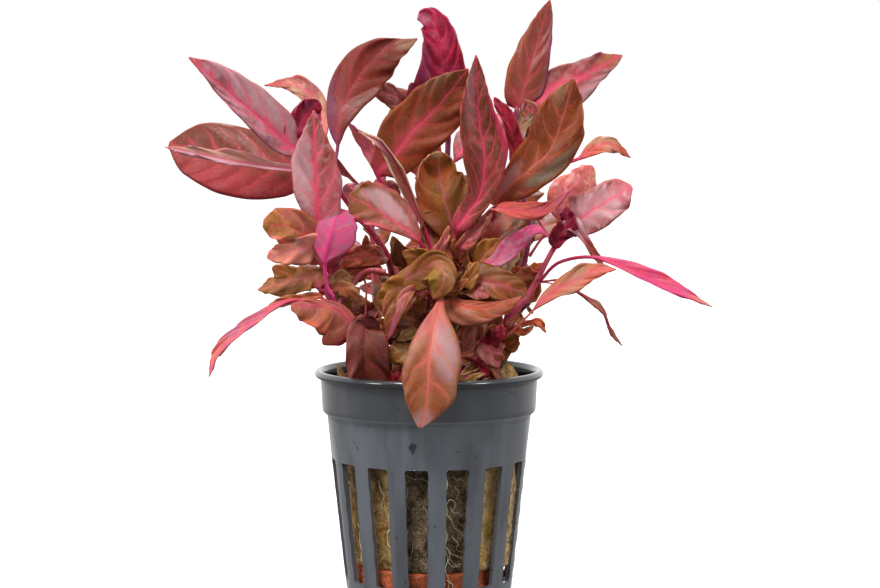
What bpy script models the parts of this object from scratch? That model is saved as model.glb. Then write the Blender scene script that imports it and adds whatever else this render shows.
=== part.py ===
"""A red-leaved stem plant for the aquarium, growing in its slotted net pot.

Units are metres. +Z is up, +X is to the right and +Y points away from the viewer.
The origin is the centre of the pot's underside. Lists of points are in millimetres.
"""
import math

import bmesh
import bpy
from mathutils import Matrix, Vector

MM = 0.001

# Net pot, in millimetres
POT_HEIGHT = 51.0
RIM_RADIUS = 26.0
RIM_BEAD = 1.7
BAND_TOP_RADIUS = 24.4
BAND_FOOT_RADIUS = 24.0
STEP_HEIGHT = 41.2
BODY_TOP_RADIUS = 22.9
BODY_FOOT_RADIUS = 19.1
FOOT_RADIUS = 18.0
WALL = 1.0
FLOOR = 1.2
POT_STEPS = 45

# Slots in the pot's wall
SLOT_COUNT = 15
SLOT_TURN = -7.0
SLOT_FOOT = 3.0
SLOT_TOP = 30.8
SLOT_WIDTH_FOOT = 4.3
SLOT_WIDTH_TOP = 5.3
SLOT_INNER_REACH = 17.0
SLOT_OUTER_REACH = 26.0

# What fills the pot
GAP = 0.3
CLAY_RADIUS = 17.0
CLAY_TOP = 7.3
WOOL_FOOT = 7.7
WOOL_TOP = 48.5
WOOL_FOOT_RADIUS = 15.8
WOOL_TOP_RADIUS = 19.2
WOOL_EDGE = 1.2

# Stems and leaves
STEM_FOOT = 41.0
SOCKET_FOOT = STEM_FOOT - GAP
STEM_POINTS = 11
STEM_TIP_SHARE = 0.62
LEAF_THICKNESS = 0.5
LEAF_STEPS = 9
STALK_HALF_WIDTH = 0.55
TIP_HALF_WIDTH = 0.35
RIB_SAMPLES = 60

COLOURS = {
    "pot": (0.035, 0.038, 0.045),
    "wool": (0.42, 0.33, 0.17),
    "clay": (0.55, 0.20, 0.09),
    "stem": (0.48, 0.05, 0.13),
    "grey_pink": (0.45, 0.15, 0.19),
    "brown_red": (0.33, 0.08, 0.06),
    "olive": (0.25, 0.14, 0.05),
    "magenta": (0.50, 0.03, 0.15),
    "coral": (0.58, 0.14, 0.11),
    "maroon": (0.20, 0.02, 0.04),
}

# Each stem: its radius at the foot, and the points that it passes through above the wool
STEMS = {
    "stem_left": (1.2, ((-5, -7), (-9, -9, 55.5), (-15, -12, 61), (-20.5, -14, 66.5),
                        (-23, -14, 71), (-23.5, -13, 78), (-22.5, -12, 83))),
    "stem_centre": (1.1, ((-4, -3), (-3.4, -4.5, 58), (-1.5, -6, 64), (1, -7.5, 70), (2.5, -8, 77))),
    "stem_pink": (1.1, ((4, -1), (7, -3, 60), (8, -4.5, 72), (6.5, -5, 79), (6.3, -5, 84))),
    "stem_magenta": (1.1, ((9.5, 2), (10, 1, 62), (9.5, 0, 75), (11, -1, 80), (14, -2.5, 84.5),
                           (15.5, -4, 89))),
    "stem_high_left": (1.2, ((-7, 4), (-7, 2, 62), (-9, 0, 75), (-12.5, -1, 81.5), (-19, -2.5, 90),
                             (-24.5, -4, 98), (-27, -5, 104))),
    "stem_right": (1.4, ((11.5, -5), (14, -6.5, 57), (17.5, -7, 62.5), (22.8, -7, 69.2),
                         (27.6, -6, 78), (30.3, -5, 82), (31.5, -4, 86))),
    "stem_high_right": (1.2, ((14.5, 6), (18.5, 5, 64), (21.6, 4, 74), (23, 3, 84), (21, 2.5, 92),
                              (19, 2, 99), (19.5, 1.8, 106), (20, 1.5, 111))),
    "stem_back": (1.2, ((0, 11), (1, 13, 60), (3, 18, 76), (4, 21, 92), (4.5, 22, 105))),
    "stem_back_left": (1.1, ((-10, 9), (-12, 12, 58), (-13, 17, 72), (-14, 21, 88), (-14.5, 22, 93))),
    "stem_back_right": (1.1, ((8, 12), (12, 14, 58), (17, 19, 72), (20.5, 22, 86), (21, 23, 91))),
}

# Each leaf: name, stem, height on the stem, points that its midrib passes after it has
# left the stem, blade width, way the upper side faces, colour, and what shapes the blade.
# stalk is the share of the length that is bare stalk, widest is where the blade is widest,
# fold and curl lift the two edges towards the upper side, in degrees.
LEAVES = (
    ("leaf_left_top", "stem_high_left", 101.5, ((-31, -8, 103), (-42, -14, 111), (-53, -20, 122)),
     10.5, (0.2, -1, 0.5), "grey_pink", {"fold": 8, "widest": 0.5}),
    ("leaf_left_broad", "stem_high_left", 94, ((-30, -1.5, 96.8), (-44.5, 3, 99.5), (-60.3, 9, 102.5)),
     17, (0, -1, 0.2), "brown_red", {"curl": -10, "stalk": 0.14}),
    ("leaf_left_edge_on", "stem_high_left", 97.5, ((-31, -9, 97), (-44.5, -11.5, 99), (-59, -11, 102)),
     3.4, (0, -1, 0.6), "grey_pink", {"fold": 35}),
    ("leaf_left_upright", "stem_left", 82, ((-23, -15, 86), (-24.2, -19.5, 97), (-25.2, -22, 110.5)),
     11.5, (-0.1, -1, 0.2), "grey_pink", {"widest": 0.48}),
    ("leaf_left_cup", "stem_left", 78.5, ((-21.5, -17, 80.5), (-20, -18.5, 84.5), (-18.5, -18, 89)),
     9, (0.3, 1, 0.3), "magenta", {"curl": 30, "stalk": 0.05}),
    ("leaf_centre_left", "stem_centre", 75.5, ((-1.5, -10.5, 80), (-8, -13, 86), (-17.5, -13.5, 92.8)),
     11.5, (-0.2, -1, 0.5), "brown_red", {"widest": 0.62, "tip": 0.6}),
    ("leaf_left_wavy", "stem_left", 76, ((-29.3, -17, 81), (-36.8, -22, 82.8)),
     11.5, (0, -1, 0.1), "brown_red", {"widest": 0.6, "tip": 0.6, "stalk": 0.05}),
    ("leaf_left_olive", "stem_left", 70.5, ((-30.5, -15.5, 73), (-38.9, -10, 70.2)),
     8.5, (0, -0.8, 0.5), "olive", {"curl": -30}),
    ("leaf_left_drooping", "stem_left", 66.3, ((-30, -18, 68.3), (-38.2, -22, 64.2), (-45.7, -26, 57.8),
                                               (-47.8, -29, 52.5)),
     3.6, (-0.4, -0.7, 0.7), "magenta", {"stalk": 0.25, "fold": 20, "widest": 0.6}),
    ("leaf_left_low", "stem_left", 62.5, ((-24, -17.5, 62.5), (-30.5, -22, 64)),
     6, (0, -1, 0.3), "coral", {"curl": -20}),
    ("leaf_hanging_maroon", "stem_left", 59, ((-14.8, -15.5, 58), (-15.2, -16.3, 53.5), (-14.9, -15.5, 49.8)),
     11, (0, -1, 0.1), "maroon", {"stalk": 0.04, "tip": 0.6}),
    ("leaf_hanging_folded", "stem_centre", 68.5, ((-5, -13, 70), (-8.2, -16.5, 64.5), (-9.8, -16.5, 58)),
     8, (-0.4, -1, 0.1), "brown_red", {"fold": 25}),
    ("leaf_front_drooping", "stem_centre", 67, ((2.4, -13, 69.5), (2, -21.5, 64.5), (1.2, -27.5, 53.5),
                                                (-2, -29, 41.2)),
     13.3, (0, -1, 0.5), "brown_red", {"stalk": 0.2, "widest": 0.5, "fold": 6}),
    ("leaf_centre_arching", "stem_centre", 71.5, ((0.5, -13, 73.5), (-4, -14, 72.5), (-10, -12.5, 73.8)),
     7.5, (0, -0.6, 0.9), "olive", {"curl": -30, "stalk": 0.05}),
    ("leaf_left_inner", "stem_high_left", 76.5, ((-14, -8, 76.5), (-17.6, -10, 74.3), (-21.6, -9.8, 72.5)),
     6, (0, -1, 0.3), "brown_red", {"fold": 10}),
    ("leaf_young_crumpled", "stem_high_left", 103.6, ((-28.3, -8, 108), (-29.5, -7.5, 112.5)),
     7, (0.3, -1, 0), "magenta", {"curl": 40, "stalk": 0.04}),
    ("leaf_behind_left", "stem_high_left", 98.5, ((-24, 6, 103.5), (-25.9, 11, 111.5), (-31.3, 13.5, 116),
                                                  (-38.5, 16, 115.8)),
     4.6, (-0.2, -0.8, 0.7), "coral", {"stalk": 0.3}),
    ("leaf_behind_strip", "stem_high_left", 84.5, ((-11, 4, 93), (-13.2, 7.5, 100), (-19, 10, 107.5)),
     3, (0.4, -1, 0.3), "coral", {"stalk": 0.3}),
    ("leaf_top_left", "stem_high_left", 95.5, ((-21, 0.5, 103), (-17, 4.5, 114), (-9.7, 5, 122),
                                               (-2.8, 1.5, 126.2)),
     12.5, (-0.2, -1, 0.1), "brown_red", {"stalk": 0.12, "widest": 0.5}),
    ("leaf_top_centre", "stem_pink", 82, ((-0.5, 0.8, 86), (-9, 0.5, 95.5), (-5, -0.5, 103.5),
                                          (1.5, -3, 111), (8.6, -6, 119.5)),
     14.5, (0.1, -1, 0.2), "olive", {"stalk": 0.4, "widest": 0.5}),
    ("leaf_folded_long", "stem_centre", 77, ((-2, -9, 86.5), (-6.5, -9.5, 96.8), (-10.5, -9.5, 102.5),
                                             (-15.8, -9, 105.5)),
     4.5, (-0.7, -0.8, 0.4), "coral", {"stalk": 0.2, "fold": 40}),
    ("leaf_centre_upright", "stem_pink", 83, ((10.8, -10.5, 90), (13.2, -13, 97), (12.9, -15.5, 108),
                                              (10.4, -20, 122.3)),
     10.4, (-0.1, -1, 0), "grey_pink", {"stalk": 0.2, "widest": 0.5, "fold": 12}),
    ("leaf_top_right", "stem_high_right", 110, ((21.3, 2.5, 116), (24.2, 6, 125), (28, 11, 135.3)),
     10, (0.1, -1, 0), "brown_red", {"stalk": 0.06, "widest": 0.45}),
    ("leaf_far_right_top", "stem_high_right", 106, ((26.5, 4.5, 112), (35.2, 9, 116.5), (44.9, 14, 122.8)),
     11.5, (0.1, -1, 0.5), "grey_pink", {"stalk": 0.15}),
    ("leaf_right_broad", "stem_magenta", 88.5, ((17.3, -8.5, 93), (23.8, -13, 103.5), (32, -17, 117.8)),
     14, (-0.1, -1, 0.3), "olive", {"stalk": 0.1, "widest": 0.55}),
    ("leaf_right_small", "stem_right", 85.5, ((31.5, 2, 93), (34, 6.5, 99.5), (40.2, 11, 103.8), (47, 14, 99.5)),
     4.6, (0.2, -0.9, 0.6), "coral", {"stalk": 0.4}),
    ("leaf_right_mottled", "stem_right", 85, ((35.8, -8, 87), (40.3, -12, 89.7), (45.5, -17, 93)),
     10.3, (0, -1, 0.4), "grey_pink", {"stalk": 0.05, "tip": 0.7}),
    ("leaf_right_coral", "stem_magenta", 86.5, ((17.5, -12, 88.5), (23.8, -17, 90.7), (31.5, -21, 92.7)),
     5, (0, -0.9, 0.6), "coral", {"stalk": 0.1, "fold": 15}),
    ("leaf_right_crumpled", "stem_right", 79.5, ((28.8, -9.5, 82), (29.5, -10.3, 88.5)),
     6.5, (-0.3, -1, 0), "magenta", {"curl": 35, "stalk": 0.04}),
    ("leaf_right_falling", "stem_right", 82.3, ((33.8, -10.5, 83.5), (36.5, -11.5, 80.5), (39, -11.5, 75)),
     5, (0.3, -1, 0.2), "brown_red", {"fold": 25}),
    ("leaf_right_long_pink", "stem_right", 72, ((28, -11.5, 76.8), (36, -15, 78), (50, -20, 71.7),
                                                (62.2, -26, 67.3)),
     3.2, (-0.1, -0.8, 0.7), "magenta", {"stalk": 0.35, "fold": 20}),
    ("leaf_right_salmon", "stem_right", 58.5, ((18.5, -12.5, 60.5), (26.3, -17, 68.7), (34.3, -20.5, 73.2),
                                               (41.3, -23, 75.9)),
     5.8, (-0.3, -0.9, 0.5), "coral", {"stalk": 0.35}),
    ("leaf_right_withered", "stem_right", 70, ((27, -3, 71.2), (33, 0, 69.6), (40.3, 3, 65), (45.2, 6, 56.2)),
     2.4, (0.5, -0.8, 0.3), "coral", {"stalk": 0.35, "fold": 15}),
    ("leaf_low_curled", "stem_pink", 66, ((11, -9.5, 66.5), (10, -13.5, 61.5), (7.6, -14, 55.8)),
     6.5, (0.3, -1, 0), "brown_red", {"curl": 30}),
    ("leaf_front_coral", "stem_centre", 65, ((4, -12, 67.5), (11.5, -17.5, 66), (19.5, -18, 64)),
     6.5, (0, -0.8, 0.7), "coral", {"stalk": 0.1}),
    ("leaf_front_orange", "stem_pink", 70.5, ((12.5, -10, 71.5), (17, -13, 71), (22.3, -13.5, 69.7)),
     7, (0, -1, 0.3), "olive", {"stalk": 0.06}),
    ("leaf_right_mauve", "stem_magenta", 74.5, ((13.5, -8, 77), (19, -11, 79.5), (25.7, -11.5, 83.3)),
     4.5, (0, -1, 0.4), "magenta", {"stalk": 0.1}),
    ("leaf_inner_olive", "stem_magenta", 77.5, ((14.5, 3.5, 79.5), (18, 5, 84), (20.5, 8, 90)),
     10, (0, -1, 0.3), "olive", {"stalk": 0.1}),
    ("leaf_cupped_olive", "stem_pink", 79.5, ((4.6, -7, 84), (2, -6, 92), (7, -5.5, 102.8)),
     12, (0.3, -1, 0), "olive", {"curl": 30, "stalk": 0.05}),
    ("leaf_top_crinkled", "stem_back", 103.5, ((3.5, 15, 111), (3, 8.5, 118), (0.8, 6.5, 125), (-2.3, 6, 132.6)),
     9.5, (0.1, -1, 0), "magenta", {"stalk": 0.3, "fold": 15}),
    ("leaf_back_level", "stem_back", 80, ((3.5, 27, 86), (2, 37, 88), (1, 47, 83)),
     13, (0, 0.3, 1), "brown_red", {"stalk": 0.12}),
    ("leaf_back_raised_left", "stem_back", 93, ((-1.5, 26.5, 99), (-6, 32, 106), (-9, 37, 112)),
     12.5, (0.3, -0.7, 0.6), "olive", {"stalk": 0.1}),
    ("leaf_back_raised_right", "stem_back", 97, ((9.5, 27, 102), (15, 32.5, 107), (20, 38, 110)),
     12, (-0.3, -0.5, 0.8), "grey_pink", {"stalk": 0.1}),
    ("leaf_back_left_spread", "stem_back_left", 76, ((-21, 25, 80), (-29, 31, 80), (-36, 36, 76)),
     13, (-0.2, 0.3, 1), "grey_pink", {"stalk": 0.12}),
    ("leaf_back_left_high", "stem_back_left", 91, ((-21, 25.5, 96), (-30, 28, 100), (-40, 29, 101)),
     12.5, (0, 0.4, 1), "brown_red", {"stalk": 0.1}),
    ("leaf_back_right_spread", "stem_back_right", 77, ((25.5, 27, 81), (29, 33, 84), (31, 41, 84)),
     12.5, (0.2, 0.2, 1), "olive", {"stalk": 0.12}),
    ("leaf_back_right_high", "stem_back_right", 89.5, ((24.5, 27.5, 96), (27.5, 31, 103), (30.5, 34, 110)),
     12, (-0.3, -0.8, 0.5), "brown_red", {"stalk": 0.1}),
)


def clear_scene():
    for item in list(bpy.data.objects):
        bpy.data.objects.remove(item, do_unlink=True)


def make_material(name, colour, roughness):
    material = bpy.data.materials.new(name)
    material.use_nodes = True
    shader = material.node_tree.nodes["Principled BSDF"]
    shader.inputs["Base Color"].default_value = (*colour, 1.0)
    shader.inputs["Roughness"].default_value = roughness
    shader.inputs["Metallic"].default_value = 0.0
    return material


def make_collection(name):
    collection = bpy.data.collections.new(name)
    bpy.context.scene.collection.children.link(collection)
    return collection


def place(name, data, collection, material=None):
    item = bpy.data.objects.new(name, data)
    collection.objects.link(item)
    if material is not None:
        data.materials.append(material)
    return item


def smooth(mesh, degrees=40.0):
    mesh.shade_smooth()
    mesh.set_sharp_from_angle(angle=math.radians(degrees))


def turned(name, profile, steps, collection, material=None):
    """A profile of (radius, height) points, in millimetres, turned about the Z axis."""
    mesh = bpy.data.meshes.new(name)
    points = [(radius * MM, 0.0, height * MM) for radius, height in profile]
    mesh.from_pydata(points, [(i, i + 1) for i in range(len(points) - 1)], [])
    item = place(name, mesh, collection, material)
    screw = item.modifiers.new("turn", "SCREW")
    screw.steps = steps
    screw.render_steps = steps
    screw.use_merge_vertices = True
    screw.merge_threshold = 0.00001
    screw.use_smooth_shade = True
    return item


def cut(item, cutter):
    boolean = item.modifiers.new("cut", "BOOLEAN")
    boolean.operation = "DIFFERENCE"
    boolean.object = cutter


def hide_cutter(cutter):
    cutter.hide_render = True
    cutter.display_type = "WIRE"


def smooth_path(points, count):
    """Evenly spaced points along a smooth curve through the given ones."""
    points = [Vector(point) for point in points]
    ends = [2 * points[0] - points[1]] + points + [2 * points[-1] - points[-2]]
    fine = []
    for before, start, stop, after in zip(ends, ends[1:], ends[2:], ends[3:]):
        for step in range(RIB_SAMPLES):
            t = step / RIB_SAMPLES
            fine.append(0.5 * (2 * start + (stop - before) * t
                               + (2 * before - 5 * start + 4 * stop - after) * t * t
                               + (3 * start - before - 3 * stop + after) * t ** 3))
    fine.append(points[-1])
    lengths = [0.0]
    for start, stop in zip(fine, fine[1:]):
        lengths.append(lengths[-1] + (stop - start).length)
    path = []
    index = 0
    for step in range(count):
        goal = lengths[-1] * step / (count - 1)
        while index < len(fine) - 2 and lengths[index + 1] < goal:
            index += 1
        share = (goal - lengths[index]) / max(lengths[index + 1] - lengths[index], 1e-9)
        path.append(fine[index].lerp(fine[index + 1], min(max(share, 0.0), 1.0)))
    return path


def stem_path(name):
    radius, points = STEMS[name]
    x, y = points[0]
    foot = [(x, y, STEM_FOOT), (x, y, WOOL_TOP + 0.5)]
    return radius, smooth_path(foot + list(points[1:]), STEM_POINTS)


def stem_radius(radius, share):
    return radius * (1.0 - (1.0 - STEM_TIP_SHARE) * share)


def stem_place(name, height):
    """Where a stem is at a height, which way it runs there, and how thick it is."""
    radius, path = stem_path(name)
    for index in range(len(path) - 1):
        low, high = path[index], path[index + 1]
        if low.z <= height <= high.z:
            share = (height - low.z) / (high.z - low.z)
            along = (index + share) / (len(path) - 1)
            return low.lerp(high, share), (high - low).normalized(), stem_radius(radius, along)
    return path[-1], (path[-1] - path[-2]).normalized(), stem_radius(radius, 1.0)


def build_stem(name, collection, material):
    radius, path = stem_path(name)
    curve = bpy.data.curves.new(name, "CURVE")
    curve.dimensions = "3D"
    curve.bevel_depth = radius * MM
    curve.bevel_resolution = 1
    curve.use_fill_caps = True
    spline = curve.splines.new("POLY")
    spline.points.add(len(path) - 1)
    for index, point in enumerate(path):
        spline.points[index].co = (*(point * MM), 1.0)
        spline.points[index].radius = stem_radius(1.0, index / (len(path) - 1))
    return place(name, curve, collection, material)


def blade_half_width(share, width, stalk, widest, base, tip):
    """Half the blade's width at a share of the midrib's length."""
    if share <= stalk:
        return STALK_HALF_WIDTH
    along = (share - stalk) / (1.0 - stalk)
    skew = math.log(0.5) / math.log(widest)
    swell = max(math.sin(math.pi * along ** skew), 0.0) ** (base if along < widest else tip)
    least = STALK_HALF_WIDTH if along < widest else TIP_HALF_WIDTH
    return max(least, 0.5 * width * swell)


def build_leaf(row, collection, materials):
    """A thin blade on its stalk: a grid laid along the midrib, then given a thickness."""
    name, stem, height, rib, width, face, colour, shape = row
    stalk = shape.get("stalk", 0.1)
    widest = shape.get("widest", 0.5)
    base_power = shape.get("base", 1.0)
    tip_power = shape.get("tip", 1.0)
    fold = math.radians(shape.get("fold", 0.0))
    curl = math.radians(shape.get("curl", 0.0))

    centre, run, thick = stem_place(stem, height)
    away = Vector(rib[0]) - centre
    away = (away - away.dot(run) * run).normalized()
    start = centre + away * (thick + GAP + LEAF_THICKNESS)
    path = smooth_path([start] + list(rib), LEAF_STEPS + 1)

    grid = bmesh.new()
    bmesh.ops.create_grid(grid, x_segments=LEAF_STEPS, y_segments=2, size=1.0)
    for vertex in grid.verts:
        share = (vertex.co.x + 1.0) / 2.0
        across = vertex.co.y
        index = round(share * LEAF_STEPS)
        ahead = path[min(index + 1, LEAF_STEPS)]
        behind = path[max(index - 1, 0)]
        tangent = (ahead - behind).normalized()
        upper = Vector(face)
        upper = (upper - upper.dot(tangent) * tangent).normalized()
        side = upper.cross(tangent)
        half = blade_half_width(share, width, stalk, widest, base_power, tip_power)
        angle = (fold + curl * abs(across) / 2.0) * min(1.0, half / (0.25 * width))
        vertex.co = (path[index] + side * (across * half * math.cos(angle))
                     + upper * (abs(across) * half * math.sin(angle))) * MM
    mesh = bpy.data.meshes.new(name)
    grid.to_mesh(mesh)
    grid.free()
    mesh.shade_smooth()
    item = place(name, mesh, collection, materials[colour])
    solidify = item.modifiers.new("thickness", "SOLIDIFY")
    solidify.thickness = LEAF_THICKNESS * MM
    solidify.offset = 0.0
    return item


def pot_profile():
    """Down the outside from the rim, across the underside and up the inside."""
    inner_top = RIM_RADIUS - RIM_BEAD
    bead_foot = POT_HEIGHT - RIM_BEAD
    return [
        (inner_top + 0.5, POT_HEIGHT),
        (RIM_RADIUS - 0.4, POT_HEIGHT - 0.15),
        (RIM_RADIUS, POT_HEIGHT - 0.8),
        (RIM_RADIUS - 0.3, bead_foot + 0.1),
        (BAND_TOP_RADIUS, bead_foot - 0.3),
        (BAND_FOOT_RADIUS, STEP_HEIGHT + 0.4),
        (BODY_TOP_RADIUS, STEP_HEIGHT - 0.6),
        (BODY_FOOT_RADIUS, 1.4),
        (BODY_FOOT_RADIUS - 0.4, 0.35),
        (FOOT_RADIUS, 0.0),
        (0.0, 0.0),
        (0.0, FLOOR),
        (BODY_FOOT_RADIUS - WALL - 0.3, FLOOR),
        (BODY_FOOT_RADIUS - WALL + 0.05, FLOOR + 0.6),
        (BODY_TOP_RADIUS - WALL, STEP_HEIGHT - 0.9),
        (BAND_FOOT_RADIUS - WALL, STEP_HEIGHT + 0.2),
        (BAND_TOP_RADIUS - WALL, bead_foot),
        (inner_top, POT_HEIGHT - 0.5),
        (inner_top + 0.5, POT_HEIGHT),
    ]


def build_slot_cutter(collection):
    """Fifteen tapered blocks in a ring, wider at the top than at the foot."""
    blocks = bmesh.new()
    middle = (SLOT_INNER_REACH + SLOT_OUTER_REACH) / 2.0
    for number in range(SLOT_COUNT):
        turn = math.radians(SLOT_TURN + number * 360.0 / SLOT_COUNT)
        made = bmesh.ops.create_cube(blocks, size=1.0)
        for vertex in made["verts"]:
            width = SLOT_WIDTH_TOP if vertex.co.z > 0 else SLOT_WIDTH_FOOT
            height = SLOT_TOP if vertex.co.z > 0 else SLOT_FOOT
            reach = middle + vertex.co.y * -(SLOT_OUTER_REACH - SLOT_INNER_REACH)
            vertex.co = Matrix.Rotation(turn, 3, "Z") @ Vector(
                (vertex.co.x * width, -reach, height)) * MM
    bmesh.ops.recalc_face_normals(blocks, faces=blocks.faces)
    mesh = bpy.data.meshes.new("slot_cutter")
    blocks.to_mesh(mesh)
    blocks.free()
    cutter = place("slot_cutter", mesh, collection)
    hide_cutter(cutter)
    return cutter


def build_socket_cutter(collection):
    """One upright peg for each stem, a little thicker than the stem that it makes room for."""
    pegs = bmesh.new()
    depth = WOOL_TOP + 2.0 - SOCKET_FOOT
    for radius, points in STEMS.values():
        x, y = points[0]
        centre = Vector((x, y, SOCKET_FOOT + depth / 2.0)) * MM
        bmesh.ops.create_cone(pegs, cap_ends=True, segments=8, radius1=(radius + 2 * GAP) * MM,
                              radius2=(radius + 2 * GAP) * MM, depth=depth * MM,
                              matrix=Matrix.Translation(centre))
    mesh = bpy.data.meshes.new("socket_cutter")
    pegs.to_mesh(mesh)
    pegs.free()
    cutter = place("socket_cutter", mesh, collection)
    hide_cutter(cutter)
    return cutter


def build_pot(parts, cutters, material):
    pot = turned("net_pot", pot_profile(), POT_STEPS, parts, material)
    cut(pot, build_slot_cutter(cutters))


def build_filling(parts, cutters, clay, wool):
    turned("clay_disc", [(0.0, CLAY_TOP), (CLAY_RADIUS - 0.6, CLAY_TOP), (CLAY_RADIUS, CLAY_TOP - 0.6),
                         (CLAY_RADIUS, FLOOR + GAP + 0.5), (CLAY_RADIUS - 0.5, FLOOR + GAP),
                         (0.0, FLOOR + GAP)], 30, parts, clay)
    plug = turned("rock_wool", [(0.0, WOOL_TOP), (WOOL_TOP_RADIUS - WOOL_EDGE, WOOL_TOP),
                                (WOOL_TOP_RADIUS, WOOL_TOP - WOOL_EDGE), (WOOL_FOOT_RADIUS, WOOL_FOOT),
                                (0.0, WOOL_FOOT)], 30, parts, wool)
    cut(plug, build_socket_cutter(cutters))


def main():
    clear_scene()
    materials = {name: make_material(name, colour, 0.5) for name, colour in COLOURS.items()}
    parts = make_collection("potted_stem_plant")
    cutters = make_collection("cutters")
    build_pot(parts, cutters, materials["pot"])
    build_filling(parts, cutters, materials["clay"], materials["wool"])
    for name in STEMS:
        build_stem(name, parts, materials["stem"])
    for row in LEAVES:
        build_leaf(row, parts, materials)


main()
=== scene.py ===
# %% [markdown]
# A red-leaved stem plant in its slotted net pot
#
# This lesson dresses a plain solid model of an aquarium stem plant. The solid model, called the
# frame, gives every stem, leaf and pot wall its real size and place. Here each of those pieces
# gets the shape and the finish that the eye sees: veined leaves, fleshy stems, moulded plastic,
# matted rock wool with roots, and a disc of fired clay. Lengths are written in millimetres.

# %% Load the frame and keep its size
import math
import random

import bpy
import numpy as np
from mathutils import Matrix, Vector, noise


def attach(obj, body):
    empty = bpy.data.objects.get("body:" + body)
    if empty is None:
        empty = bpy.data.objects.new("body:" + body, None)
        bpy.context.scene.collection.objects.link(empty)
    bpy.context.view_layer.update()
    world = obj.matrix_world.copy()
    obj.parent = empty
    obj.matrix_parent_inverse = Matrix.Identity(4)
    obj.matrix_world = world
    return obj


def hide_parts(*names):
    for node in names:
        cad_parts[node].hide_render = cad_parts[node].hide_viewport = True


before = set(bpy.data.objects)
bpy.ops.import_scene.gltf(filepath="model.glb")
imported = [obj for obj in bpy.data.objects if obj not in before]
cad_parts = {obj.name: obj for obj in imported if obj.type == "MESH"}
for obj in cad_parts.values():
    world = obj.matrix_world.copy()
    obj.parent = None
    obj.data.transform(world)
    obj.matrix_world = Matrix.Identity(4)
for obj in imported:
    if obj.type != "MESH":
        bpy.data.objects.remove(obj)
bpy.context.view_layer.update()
MM = 0.001

# %% [markdown]
# The camera
#
# The picture was taken with a long lens from a little above the pot. A long lens keeps the pot's
# rim a flat ellipse and the leaves in their true proportions, so the lens comes first.

# %% Place the camera
PICTURE_WIDTH = 880
FOCAL_PIXELS = 2455
SENSOR = 36.0
CAMERA_PLACE = (0.0025, -0.560, 0.1144)
CAMERA_TILT = 4.72

camera_data = bpy.data.cameras.new("studio_camera")
camera_data.sensor_width = SENSOR
camera_data.lens = SENSOR * FOCAL_PIXELS / PICTURE_WIDTH
camera_data.clip_start = 0.01
camera_data.clip_end = 100.0
camera = bpy.data.objects.new("studio_camera", camera_data)
camera.location = CAMERA_PLACE
camera.rotation_euler = (math.radians(90.0 - CAMERA_TILT), 0.0, 0.0)
bpy.context.scene.collection.objects.link(camera)
bpy.context.scene.camera = camera
print("lens:", round(camera_data.lens, 2), "mm")

# %% [markdown]
# A small language for finishes
#
# A finish is a network of nodes. Joining nodes by hand hides the idea behind the wiring, so two
# small classes do it. A Wire is one output of a node, and it can stand in a Python sum. A Finish
# is a material with one method that adds any node. Sums on numbers become Math nodes, and sums
# on colours or places become Vector Math nodes, which keep all three channels.

# %% Wires and finishes
VECTOR_KINDS = ("VECTOR", "RGBA")
DEEPER = (0.8, 0.72, 0.72)


class Wire:
    """One output of a node, ready to take part in a sum."""

    def __init__(self, finish, socket):
        self.finish = finish
        self.socket = socket

    def __add__(self, other):
        return self.finish.reckon("ADD", self, other)

    def __sub__(self, other):
        return self.finish.reckon("SUBTRACT", self, other)

    def __rsub__(self, other):
        return self.finish.reckon("SUBTRACT", other, self)

    def __mul__(self, other):
        return self.finish.reckon("MULTIPLY", self, other)

    def __truediv__(self, other):
        return self.finish.reckon("DIVIDE", self, other)

    def __pow__(self, other):
        return self.finish.reckon("POWER", self, other)

    def __gt__(self, other):
        return self.finish.reckon("GREATER_THAN", self, other)

    def __abs__(self):
        return self.finish.reckon("ABSOLUTE", self)

    __radd__ = __add__
    __rmul__ = __mul__


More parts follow.
